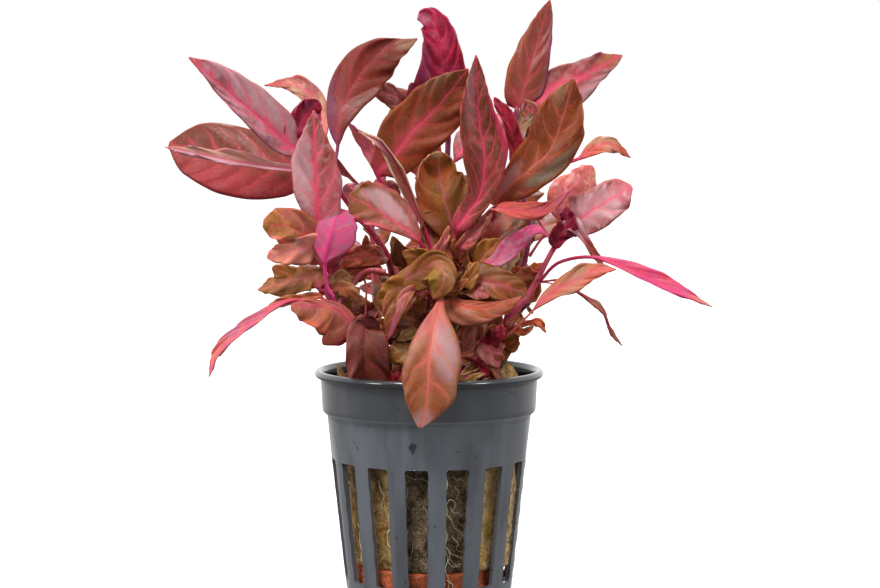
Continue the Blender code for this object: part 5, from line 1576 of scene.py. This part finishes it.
# %% Grow the right-hand leaves
grow((
    ("leaf_top_right", "stem_high_right", 110, ((20.9, 3, 112.5), (22.7, 5, 118.1), (25.1, 8, 126.2),
     (27.9, 11, 135.4)), 9.9, (0.1, -1, 0), "brown_red",
     dict(stalk=0.03, quilt=0.4, ripple=0.4, veins=6, left="30 78 96 100 96 89 79 65 49 30 3",
     right="15 50 88 94 86 77 68 58 46 30 3"),
     dict(patchy=0.3, clear=0.55, light=0.8, tints=(("orange_brown", 0.4, 0.95, 0.5, 0.3, 0.7),
     ("purple", 0.5, -0.95, 0.5, 0.3, 0.5)))),
    ("leaf_far_right_top", "stem_high_right", 106, ((26.6, 5, 113.6), (33.6, 8, 117), (39.6, 11, 120),
     (44.9, 14, 122.7)), 11.5, (0.1, -1, 0.5), "grey_pink",
     dict(stalk=0.2, quilt=0.35, ripple=0.6, veins=5, left="20 45 68 82 82 80 78 70 55 36 3",
     right="20 45 78 108 112 92 74 56 40 27 3"),
     dict(blade="dusty_rose", second="red_brown", patchy=0.3, rib_size=1.2, clear=0.65, light=0.82,
     tints=(("tan", 0.95, 0, 0.3, 1.6, 0.7), ("painted_sheen_grey", 0.4, -0.8, 0.4, 0.5, 0.5),
     ("hot_pink", 0.35, 0, 0.3, 0.35, 0.6)))),
    # This leaf's grey-olive patch low on the blade is a painted sheen.
    ("leaf_right_broad", "stem_magenta", 88.5, ((16.4, -8, 91.5), (21.9, -11, 96.4), (27, -13.5, 101.4),
     (29.5, -15, 108.1), (32, -17, 117.3)), 12.2, (-0.1, -1, 0.3), "olive",
     dict(stalk=0.06, quilt=0.25, ripple=0.6, warp=0.9, veins=6, left="15 35 55 75 94 105 108 102 85 55 3",
     right="15 42 66 82 86 88 94 93 76 45 3"),
     dict(second="rust", patchy=0.35, rib="salmon", rib_size=0.6, stalk="coral", clear=0.4, light=0.98,
     tints=(("beige", 0.88, 0.6, 0.16, 0.5, 0.45), ("grey_olive", 0.3, -0.6, 0.16, 0.35, 0.9),
     ("painted_sheen_grey", 0.12, 0.3, 0.14, 0.5, 0.45)))),
    ("leaf_right_small", "stem_high_right", 95, ((27, 1.5, 97), (33.8, 3, 98.8), (37.6, 6.5, 101),
     (42.2, 10, 102.2), (46.9, 13, 99)), 4.6, (0.2, -0.9, 0.6), "coral",
     dict(stalk=0.45, quilt=0.1),
     dict(blade="peach", clear=0.3, tints=(("beige", 0.5, 0.8, 0.5, 0.5, 0.8),))),
    ("leaf_right_mottled", "stem_right", 85, ((32.5, -8, 84.6), (36.5, -12, 87.8), (40.6, -15, 90.6),
     (44.9, -17, 93.4)), 10, (0, -1, 0.4), "grey_pink",
     dict(stalk=0.04, quilt=0.25, ripple=0.22, warp=0.4, scallop=0, veins=5,
     left="50 105 125 115 98 92 92 90 82 65 12", right="15 45 68 85 95 100 98 93 82 62 12"),
     dict(patchy=0.45, vein="pink", clear=0.45, bloom=0.6, light=1.4,
     tints=(("pink", 0.92, 0, 0.25, 1.2, 0.4), ("painted_sheen_grey", 0.4, 0, 0.5, 0.9, 0.75),
     ("grey_mauve", 0.45, 0.5, 0.2, 0.4, 0.6)))),
    ("leaf_right_coral", "stem_magenta", 86.5, ((15.3, -12, 88.4), (19.9, -16, 88), (25.6, -19, 88.2),
     (31, -21, 92.6)), 4.6, (0, -0.9, 0.6), "coral",
     dict(fold=15, quilt=0.15),
     dict(blade="coral", second="soft_red", patchy=0.2, clear=0.4, light=0.8,
     tints=(("mauve", 1, 0, 0.25, 2, 0.8),))),
    ("leaf_right_crumpled", "stem_right", 79.5, ((29.4, -9.5, 82.3), (31, -10.3, 84.8), (31, -10.3, 88.6)),
     5.2, (-0.3, -1, 0), "magenta",
     dict(stalk=0.04, curl=35, quilt=0.7, ripple=1.3, warp=1.3, uneven=0.15, tip=0.6, base=0.6, veins=4),
     dict(blade="crimson", second="dark_magenta", under="crimson", clear=0.3, bloom=0, light=0.9)),
    ("leaf_right_falling", "stem_right", 82.3, ((32.4, -10.5, 84.3), (34.5, -11.5, 81.9),
     (36.6, -11.5, 78.7), (39, -11.5, 75.4)), 5.4, (0.3, -1, 0.2), "brown_red",
     dict(fold=25, left="30 70 95 90 60 42 36 36 36 30 10", right="30 70 90 80 50 32 30 30 30 25 10"),
     dict(clear=0.4, tints=(("pale_lilac", 0.15, 0, 0.35, 2, 0.8), ("olive_brown", 0.8, 0, 0.3, 2, 0.7)))),
    ("leaf_right_long_pink", "stem_right", 72, ((29.4, -11.5, 76.3), (38.1, -15, 77.4), (49.9, -20, 72.9),
     (61.9, -26, 67.5)), 3.9, (-0.1, -0.8, 0.7), "magenta",
     dict(stalk=0.35, fold=20, quilt=0.08, ripple=0.2),
     dict(blade="fuchsia", second="hot_pink", patchy=0.1, clear=0.3, light=0.92,
     tints=(("beige", 1, 0, 0.25, 2, 0.8),))),
    ("leaf_right_salmon", "stem_right", 58.5, ((18.5, -12.5, 60.6), (26.9, -16, 69.4), (32, -19, 72.8),
     (36.6, -21, 75.1), (41.1, -23, 75.5)), 5.8, (-0.3, -0.9, 0.5), "coral",
     dict(stalk=0.4, quilt=0.15, tip=0.9, slim=0.5),
     dict(blade="beige", second="salmon", patchy=0.2, stalk="salmon", clear=0.4, light=0.95,
     tints=(("tan", 0.4, 0.75, 0.6, 0.5, 0.5), ("salmon", 0.3, -0.3, 0.4, 0.4, 0.5)))),
    ("leaf_right_withered", "stem_right", 70, ((25.8, -3, 71.1), (33, 0, 69.2), (37.4, 1, 66.4),
     (40.3, 2, 63.5), (42.1, 4, 58.9), (44.7, 6, 55.7)), 2.1, (0.5, -0.8, 0.3), "coral",
     dict(stalk=0.35, fold=15, ripple=0.3, waves=3.5, slim=0.36, left="10 10 10 35 100 50 10 15 60 30 10",
     right="10 10 15 50 90 40 10 15 50 30 10"),
     dict(blade="beige", second="tan", clear=0.2, light=1.1)),
    ("leaf_right_mauve", "stem_magenta", 74.5, ((10.8, -8, 74.6), (15.1, -10, 76.7), (19.6, -11, 80.8),
     (23.8, -11.5, 83.5), (26.8, -11, 82.1)), 4.5, (0, -1, 0.4), "magenta",
     dict(stalk=0.28, quilt=0.1, ripple=0.2),
     dict(blade="mauve", second="fuchsia", patchy=0.1, clear=0.2, bloom=0.5, light=1.2)),
    ("leaf_inner_olive", "stem_magenta", 77.5, ((14.5, 3.5, 79.5), (18, 5, 84), (20.5, 8, 90)), 10,
     (0, -1, 0.3), "olive",
     {}, dict(blade="olive_brown", clear=0.3)),
))

# %% [markdown]
# The leaves at the back
#
# The picture doesn't show the back. A real plant is as full there, so broad leaves stand out
# from three stems behind, in the same colours.

# %% Grow the back leaves
grow((
    ("leaf_back_level", "stem_back", 80, ((3.5, 27, 86), (2, 37, 88), (1, 47, 83)), 13, (0, 0.3, 1),
     "brown_red",
     dict(stalk=0.12, ripple=0.7), {}),
    ("leaf_back_raised_left", "stem_back", 93, ((-1.5, 26.5, 99), (-6, 32, 106), (-9, 37, 112)), 12.5,
     (0.3, -0.7, 0.6), "olive",
     dict(ripple=0.6), {}),
    ("leaf_back_raised_right", "stem_back", 97, ((9.5, 27, 102), (15, 32.5, 107), (20, 38, 110)), 12,
     (-0.3, -0.5, 0.8), "grey_pink",
     dict(ripple=0.6), {}),
    ("leaf_back_left_spread", "stem_back_left", 76, ((-21, 25, 80), (-29, 31, 80), (-36, 36, 76)), 13,
     (-0.2, 0.3, 1), "grey_pink",
     dict(stalk=0.12, ripple=0.7), dict(clear=0.9)),
    ("leaf_back_left_high", "stem_back_left", 91, ((-21, 25.5, 96), (-30, 28, 100), (-40, 29, 101)), 12.5,
     (0, 0.4, 1), "brown_red",
     dict(ripple=0.7), {}),
    ("leaf_back_right_spread", "stem_back_right", 77, ((25.5, 27, 81), (29, 33, 84), (31, 41, 84)), 12.5,
     (0.2, 0.2, 1), "olive",
     dict(stalk=0.12, ripple=0.7), {}),
    ("leaf_back_right_high", "stem_back_right", 89.5, ((24.5, 27.5, 96), (27.5, 31, 103), (30.5, 34, 110)),
     12, (-0.3, -0.8, 0.5), "brown_red",
     dict(ripple=0.6), {}),
))

# %% [markdown]
# Small leaves in the thick of the plant
#
# Low down, a cutting carries many short leaves that crowd between the stems. They are too many
# to describe one by one, so each has a row with its place and one of a few looks. All small
# leaves of one look are one piece with one finish, and a mood of its own sets each leaf apart.

# %% Grow the small leaves that the picture shows
# A look's bloom is its share of painted sheen.
SMALL_LOOKS = {
    "olive": palette("orange_brown olive olive_brown tan salmon tan tan"),
    "tan": palette("tan orange_brown orange_brown salmon salmon beige beige"),
    "yellow": palette("yellow_olive olive orange_brown pale_green beige pale_green olive"),
    "pale": palette("grey_olive pale_green olive peach peach cream beige", bloom=0.5),
    "brown": palette("brown orange_brown olive_brown dusty_rose soft_red tan dusty_rose", light=1.35),
    "grey": palette("olive_brown grey_olive dark_olive tan dusty_rose olive grey_olive", bloom=0.3),
    "rose": palette("dusty_rose red_brown brown pink pink tan dusty_rose", bloom=0.25, light=1.4),
    "mauve": palette("mauve dusty_rose grey_mauve pink hot_pink beige lilac", bloom=0.4),
    "maroon": palette("maroon crimson dark_maroon soft_red crimson crimson red_brown", light=1.25),
    "coral": palette("orange orange_brown rust salmon salmon tan peach"),
    "salmon": palette("beige dusty_rose salmon pink pink salmon peach", bloom=0.7, light=1.4),
}
SMALL_SLOTS = {"brown": "leaf_brown_red", "rose": "leaf_grey_pink", "mauve": "leaf_magenta",
               "maroon": "leaf_maroon", "coral": "leaf_coral"}
SMALL_ROWS, SMALL_COLUMNS = 26, 7
SMALL_VEINS, SMALL_LENGTH, SMALL_STALK = 4, 11.0, 0.12
SMALL_SEED = 23
SMALL_BREADTH = 1.32
SMALL_SHEETS = {look: [] for look in SMALL_LOOKS}
# Each row: the stem, the height on it, three points of the midrib, the width and the look.
FRONT_SMALL = """
left 75.5  -24.7 -16 79.4  -30.1 -19 79.4  -35.6 -21 77.9  5 salmon
left 70  -24.7 -14 71.8  -30.6 -13 73.3  -35.1 -12 75.2  4.2 olive
left 68.8  -24.7 -15 69  -30.8 -17 68.2  -35.6 -18 67  2 tan
left 71.5  -20.8 -12 72.1  -18.5 -12 72.5  -15.9 -12 71.4  2.7 yellow
left 69.4  -20.2 -15 71  -17.5 -16 69.9  -14.6 -16 67.9  2.7 tan
left 73.5  -21.2 -12 76.3  -19.7 -11 77.8  -17.7 -10 79.8  2.5 maroon
high_left 73  -14.8 -4 75.8  -14.4 -7 79.2  -14.2 -8 82.2  2.9 tan
left 66  -18.8 -11 64.8  -17.3 -10 65.8  -15.7 -9 67.1  3.1 rose
left 63  -17.3 -10 62.4  -14.9 -9 64.2  -11.3 -8 66.3  3.8 rose
left 60  -13.8 -8 60  -10.6 -7 59.2  -7.5 -6 57.3  3.8 maroon
high_left 66  -11.5 -6 68.2  -12 -7 69.9  -12.6 -7 71.7  1.8 pale
high_left 68.5  -9.7 -7 71.7  -9 -8 71.1  -8.3 -8 69.7  2 pale
centre 70  -3.8 -12 70.1  -7.3 -14 69.1  -11.6 -14 67.8  6 olive
centre 69  -3.5 -15 69.8  -5.3 -17 67.6  -6.8 -17 63.8  2.9 rose
centre 64  -4 -9 63.7  -6.5 -11 61.6  -9.2 -12 59.7  5.8 brown
centre 66  -3.1 -8 67.7  -3.6 -9 64.8  -3.8 -9 61.4  2.3 maroon
centre 66.5  -1.8 -9 67.8  -1.8 -10 66.3  -2.7 -10 64.2  2.2 tan
centre 60.5  -2.4 -11 61.2  -4.4 -13 60.3  -7.1 -14 58.8  2.7 yellow
centre 58  -4.2 -12 57.9  -6.9 -15 56.4  -10 -16 56.5  4.5 yellow
centre 56  -6.1 -9 55.8  -7 -10 53.6  -8.1 -10 51.6  2.7 brown
high_left 71.5  -5.9 -6 74.3  -6.7 -8 77.6  -7.2 -9 81.3  2.9 olive
centre 74.5  -0.2 -10 76  -2.9 -12 77.5  -5.8 -12 78.6  3.8 olive
centre 73  -0.2 -9 73.6  -2.4 -10 74.6  -4.9 -10 75.3  3.4 rose
pink 76.5  7 -7 76  7.2 -8 78.8  8.4 -8 81.7  3.8 brown
pink 75.5  10.4 -8 75.2  13.1 -9 78.2  16.2 -9 81.3  4.3 olive
pink 72.5  8.8 -11 71.3  9.6 -14 74  9.2 -14 76.5  2.7 olive
pink 71.8  7.7 -9 71.8  6.1 -13 70.6  3.6 -14 68.6  4.2 grey
pink 71  8.3 -10 71.2  10.7 -15 70.1  13.4 -16 68.8  3.8 rose
pink 67  8.3 -10 65.4  6.3 -13 66.1  3.8 -14 66.9  2.2 yellow
pink 73.6  6.6 -7 70.6  5.4 -9 72.3  4.3 -9 74.3  2.3 maroon
pink 64  9.3 -9 62.8  7.4 -12 64.2  5 -13 64.7  2.5 rose
pink 62  9.5 -8 57.3  10.1 -11 60.5  11.3 -11 63.4  3.4 brown
pink 63  9.3 -9 62.6  7.9 -12 60.8  7.4 -12 58.1  2.9 tan
pink 58.5  12 -9 58.5  10.1 -13 56.7  7.4 -14 55.2  1.8 rose
pink 55  11.8 -9 52.4  9.5 -12 53.8  7 -14 55  2 coral
pink 54  10.8 -10 52.9  9 -12 52  7.2 -13 51  2.2 yellow
right 60  12.4 -9 58.3  13.3 -12 60.4  15.1 -12 62.2  2.9 olive
right 59  13.1 -10 57.2  15 -13 60  16.4 -13 62.5  3.4 maroon
right 57  13.1 -11 57.8  13.9 -14 55.9  15.5 -14 52.9  5.1 rose
right 54  13.6 -9 53.7  12.2 -12 52  10.4 -12 50.4  4 maroon
right 57.5  16.7 -9 56.9  18.7 -10 57.9  20 -11 59.8  3.2 olive
right 61  19.2 -10 60.6  21.3 -12 60.6  23.5 -13 62  2 tan
right 62  21.9 -9 62.3  24.5 -11 62.8  26.3 -12 60.4  1.3 brown
right 66.5  22 -5 67.7  20.9 -4 65.8  18.9 -4 63.7  2.7 mauve
right 64  21.1 -6 63.9  19.2 -7 62.8  17.2 -8 61.8  2 tan
right 67.5  23.2 -4 68.7  21.4 -4 71.7  19.1 -4 74.6  4.5 coral
magenta 75  16.6 -3 73.2  18.2 -3 75.7  20.5 -3 78.7  3.9 pale
right 73.5  23.5 -6 74.6  24.7 -6 75  25.8 -6 75.7  1.4 brown
high_right 97  19.5 -1 102.7  17.9 -4 107.7  14.7 -5 113.1  2.9 maroon
high_right 100  19.8 0 103.8  21 2 107.4  23.3 4 112.2  3.4 pale
right 84.5  31.6 -2 91.4  34.6 -1 94.4  37.4 0 97.4  6.4 salmon
back 98  -5.6 12 111  -8.8 9 113.5  -13.9 8 115.4  5.3 rose
pink 80  3 -6 75.9  0.7 -6 82  -1.1 -6 88.8  5 olive
pink 78  9.3 -3 75.7  13.4 -3 80.7  16.1 -3 84.8  3.9 brown
magenta 76  15.7 -2 71.1  18.9 -2 75.6  21.6 -2 78.8  3.9 olive
magenta 72  17.2 -5 69.5  21.1 -5 72.2  26.3 -5 74.5  3.4 tan
centre 66  5.2 -8 60.7  5.9 -9 66.4  7 -9 70.9  4.1 grey
centre 76  -2.5 -6 74.1  -6.1 -6 77.5  -8.3 -6 81.8  3.4 olive
centre 64  -2.5 -10 62.7  -7.6 -12 65.6  -12.3 -12 68.3  4.9 olive
centre 60  -3.1 -9 58.5  -7.6 -11 61  -12.3 -11 62.8  4.5 brown
left 66  -22.1 -13 63.8  -19.2 -12 67.8  -15.4 -12 70.5  4 yellow
left 72  -22.2 -10 71  -17.3 -9 73.9  -11.5 -8 76.1  3.6 coral
centre 58  -2 -8 55  -0.2 -8 60.7  1.6 -8 66.3  3.4 rose
pink 58  7.5 -8 53.4  9.3 -9 59.6  9.7 -9 66.4  4.1 rose
pink 61  11.5 -8 53.4  13.8 -9 59.6  16 -9 65.3  4.1 brown
pink 55  9.3 -10 49.5  11 -11 53.7  14.2 -11 57.6  3.6 maroon
right 58  16.1 -8 53.8  17.9 -8 57.3  20.6 -8 60.2  2.7 olive
high_right 99  21.3 3 104.4  23.8 3 107.9  21.2 3 112.4  4.1 rose
high_right 96  21.2 1 101.1  18.9 1 106.1  18 1 109.7  2.7 mauve
left 55  -17.3 -12 49.8  -14.9 -14 52.7  -11.4 -14 54.5  2.9 brown
centre 54  -7.6 -11 48.7  -9.8 -14 51.4  -12.7 -15 52.8  2.5 maroon
pink 53  8.1 -12 48.6  10 -14 50.5  12.5 -14 51.4  2 yellow
right 53  17.1 -11 48.7  14.8 -13 51.7  12.4 -13 53.9  2.5 brown
centre 53  -6.1 -11 48.3  -4.7 -12 50.7  -2.9 -12 52.5  2.5 rose
centre 75  -0.2 -12 76.3  2.5 -13 79.5  4.5 -13 84.5  2 rose
pink 74  7.4 -14 70.7  9.2 -15 73.4  11 -14 76.5  2.9 olive
centre 78  1.1 -8 78.3  0.2 -8 82.8  -0.4 -9 87.8  4.3 olive
pink 79  7.4 -9 79.7  10.1 -9 82.9  12.8 -9 86.9  2.7 rose
magenta 81  16 -7 84.1  17.9 -6 86.8  20.6 -6 89.3  2.9 salmon
pink 70  5.2 -14 69.5  6.7 -16 71  8.7 -17 72.9  2.4 olive
"""


def rows_of(table):
    """The rows of a table written as words: a stem, some numbers and a look."""
    for row in table.replace(",", "\n").splitlines():
        if row.strip():
            stem, *numbers, look = row.split()
            yield "stem_" + stem, [float(number) for number in numbers], look


def add_small(stem, height, rib, width, look, draw):
    """One small leaf, crinkled by chance, kept until its piece is made."""
    shape = {**PLAIN_SHAPE, "stalk": SMALL_STALK, "veins": SMALL_VEINS, "tip": 0.55, "base": 0.55,
             "quilt": 0.22, "uneven": 0.16, "scallop": 0.06, "ripple": draw.uniform(0.2, 0.6),
             "warp": draw.uniform(0.3, 0.9), "curl": draw.uniform(-30.0, 26.0),
             "fold": draw.uniform(-6.0, 18.0), "twist": draw.uniform(-50.0, 50.0),
             "waves": draw.uniform(1.6, 3.2)}
    face = (draw.uniform(-0.4, 0.4), -1.0, draw.uniform(-0.2, 0.7))
    seed = look + str(len(SMALL_SHEETS[look]))
    line = leaf_line(stem, height, rib)
    sheet = leaf_sheet(line, width * SMALL_BREADTH, face, shape, seed, SMALL_ROWS, SMALL_COLUMNS)
    SMALL_SHEETS[look].append((sheet, draw.random()))
    GROWN.setdefault(stem, []).append(height)


small_draw = random.Random(SMALL_SEED)
front_rows = list(rows_of(FRONT_SMALL))
for stem, (height, *rib, width), look in front_rows:
    add_small(stem, height, np.reshape(rib, (3, 3)), width, look, small_draw)
print("small leaves in front:", len(front_rows))

# %% [markdown]
# Behind the front leaves the plant is as dense, and it must be, because the part is seen from
# all sides. These leaves need no exact place: each has a stem, a height and a direction round
# the stem, and it arches outwards from there.

# %% Grow the small leaves behind and at the sides
SMALL_LOOK = {**PLAIN_LOOK, "clear": 0.35, "stalk": "soft_red", "vein_size": 0.36, "rib_size": 0.5,
              "edged": 0.5}
# The arch of a small leaf: shares of its reach and of its rise at three points.
ARCH = ((0.35, 0.55), (0.7, 0.9), (1.0, 0.8))
# Each entry: the stem, the height on it, the bearing in degrees, how far the leaf reaches and
# rises, its width and its look.
BACK_SMALL = """
back 61 60 9 2 6 brown, back 64 130 10 1 6 olive, back 68 95 12 3 7 rose,
back 72 40 10 4 6 coral, back 75 150 10 3 6 brown, back 83 110 11 5 7 maroon,
back 87 45 11 6 6.5 olive, back 91 150 10 6 6 rose, back_left 60 120 9 2 6 maroon,
back_left 63 170 9 1 6 olive, back_left 67 95 10 3 6 rose, back_left 71 160 9 3 5.5 brown,
back_left 83 100 11 5 6.5 olive, back_left 86 40 9 5 6 rose, back_right 60 60 9 2 6 brown,
back_right 64 20 9 2 5.5 rose, back_right 68 100 10 3 6 olive, back_right 72 50 10 3 6 coral,
back_right 83 80 11 5 6.5 maroon, back_right 86 140 10 5 6 brown, high_right 66 60 9 1 5.5 olive,
high_right 70 95 9 3 5 rose, high_right 78 100 9 4 5 maroon, high_right 88 85 10 5 5.5 brown,
high_left 64 120 9 1 5.5 brown, high_left 69 80 9 2 5 rose, high_left 79 95 9 4 5 olive,
high_left 88 70 10 5 5.5 maroon, magenta 62 45 8 1 5 maroon, magenta 67 70 8 2 5 brown,
magenta 70 120 8 2 5 grey, right 60 60 8 0 5 rose, centre 62 100 8 2 5.5 brown,
centre 67 70 8 2 5.5 maroon, centre 71 110 8 2 5.5 olive, centre 74 60 9 3 5.5 rose,
pink 60 80 8 2 5.5 brown, pink 68 40 8 2 5.5 rose, pink 76 100 9 3 5.5 olive,
pink 80 70 9 4 5.5 brown, left 58 120 7 0 5 brown, left 64 95 8 1 5 rose
"""

for stem, (height, turn, reach, rise, width), look in rows_of(BACK_SMALL):
    centre, _, _ = stem_place(stem, height)
    away = np.array([math.cos(math.radians(turn)), math.sin(math.radians(turn)), 0.0])
    rib = [tuple(centre + away * reach * out + np.array([0.0, 0.0, rise * up])) for out, up in ARCH]
    add_small(stem, height, rib, width, look, small_draw)

for look, grown in SMALL_SHEETS.items():
    material = leaf_finish("small_" + look + "_finish", {**SMALL_LOOK, **SMALL_LOOKS[look]},
                           SMALL_LENGTH, SMALL_VEINS, {"stalk": SMALL_STALK})
    make_leaves("small_leaves_" + look, [sheet for sheet, _ in grown], [mood for _, mood in grown],
                material, SMALL_SLOTS.get(look, "leaf_olive"))
print("small leaves:", sum(len(grown) for grown in SMALL_SHEETS.values()))

# %% [markdown]
# The stems' flesh
#
# The leaves are in place, so the heights of the swellings are known. Each stem is a tube with
# five faint ridges that thins towards its tip. A few bare leaf stalks cross the gaps between the
# stems, and they are short tubes with the same finish.

# %% Make the stems, with a swelling at every leaf
STEM_COLOURS = {
    "stem_left": ("crimson", "purple"), "stem_centre": ("soft_red", "crimson"),
    "stem_pink": ("pink", "salmon"), "stem_magenta": ("magenta", "crimson"),
    "stem_high_left": ("crimson", "dark_magenta"), "stem_right": ("pink", "magenta"),
    "stem_high_right": ("purple", "dark_magenta"), "stem_back": ("crimson", "purple"),
    "stem_back_left": ("soft_red", "crimson"), "stem_back_right": ("magenta", "purple"),
}
SWELL_REACH = 1.3
SWELL_AMOUNT = 0.36
FLESH_SHARE = {"stem_right": 0.62, "stem_magenta": 0.74, "stem_high_right": 0.7, "stem_high_left": 0.8}
EVEN_FLESH = 0.86
RIDGE_COUNT, RIDGE_HEIGHT = 5, 0.045
BEAT_RATE, BEAT_HEIGHT = 40, 0.02
TIP_ROUNDING = (0.95, 0.85, 0.62, 0.3)
# Each bare stalk: its radius, its colour and points along it.
PETIOLES = (
    (0.28, "pink", ((-8.1, -8, 95.9), (-5.6, -8, 92.3), (-3.6, -9, 88.7))),
    (0.26, "salmon", ((-14.6, -11, 60.7), (-14.1, -10, 67.6), (-14.2, -9, 70.9), (-14.9, -8, 72.9))),
    (0.26, "pink", ((-14.1, -11, 60.7), (-12.3, -10, 63.6), (-10.5, -10, 65.8))),
    (0.52, "purple", ((-20.6, -14, 66.2), (-17.6, -13, 70.6), (-15.2, -12, 73.6), (-12.9, -12, 74.5),
                      (-9.6, -12, 74.1))),
    (0.45, "crimson", ((8.1, -7, 82.8), (11.5, -8, 85.5), (14, -8, 87.8), (15.7, -9, 88.7))),
    (0.32, "pink", ((22.9, -2, 77), (24.8, -3, 80), (26.4, -3, 82.1))),
    (0.3, "pink", ((24.2, -2, 86.3), (25.9, -4, 83.5), (27.4, -5.5, 81.2))),
    (0.24, "salmon", ((24.3, -5, 71.1), (26.5, -6, 71.6), (28.9, -8, 72))),
)


def stem_finish(name, first, second):
    """Mottled in two colours, with pale and dark streaks along the stem and fine pale specks."""
    finish = Finish(name)
    place = finish.place()
    streak = finish.cloud(place * (1.0, 1.0, 0.16), 0.7, 3.0, 0.6)
    slow = finish.cloud(place, 6.0, 2.0)
    speck = finish.cloud(place, 0.4, 2.0)
    colour = finish.lay(
        COLOURS[first],
        (finish.step(slow, 0.3, 0.7), COLOURS[second]),
        (finish.step(streak, 0.5, 0.75) * 0.5, COLOURS["pink"]),
        ((1 - finish.step(streak, 0.28, 0.45)) * 0.45, COLOURS["maroon"]),
        (finish.step(speck, 0.62, 0.75) * 0.25, COLOURS["cream"]))
    finish.dress(colour, 0.34 + (streak - 0.5) * 0.2, streak * 0.6 + speck * 0.3, depth=0.12)
    finish.flesh(0.2, (1.0, 0.3, 0.3), 1.0)
    return finish.owner


def build_stem(name):
    """One stem's flesh, in place of its plain solid."""
    radius, line = stem_line(name)
    share = np.linspace(0.0, 1.0, STEM_RINGS)
    radii = FLESH_SHARE.get(name, EVEN_FLESH) * radius * (1.0 - (1.0 - STEM_TIP_SHARE) * share)
    for height in GROWN.get(name, []):
        away = (line[:, 2] - height) / SWELL_REACH
        radii = radii * (1.0 + SWELL_AMOUNT * np.exp(-away ** 2) / (1.0 + 0.2 * len(GROWN[name])))
    radii[-len(TIP_ROUNDING):] *= TIP_ROUNDING
    turn = np.arange(STEM_SIDES) * 2 * math.pi / STEM_SIDES
    ridges = (1.0 + RIDGE_HEIGHT * np.cos(RIDGE_COUNT * turn)[None, :]
              + BEAT_HEIGHT * np.sin(share * BEAT_RATE)[:, None])
    material = stem_finish(name + "_finish", *STEM_COLOURS[name])
    points, faces = tube(line, radii[:, None] * ridges, STEM_SIDES)
    make_piece(name + "_flesh", points, faces, material, "stem", [name])


for stem_name in STEMS:
    build_stem(stem_name)

for number, (size, colour_name, points) in enumerate(PETIOLES):
    path = smooth_path(points, 12 * len(points))
    thick = size * (1.0 + 0.35 * np.linspace(1.0, -1.0, len(path)) ** 2)
    material = stem_finish("petiole_finish_" + str(number), colour_name, "soft_red")
    make_piece("petiole_" + str(number), *tube(path, thick, 10), material, "stem")
print("stems:", len(STEMS), "petioles:", len(PETIOLES))
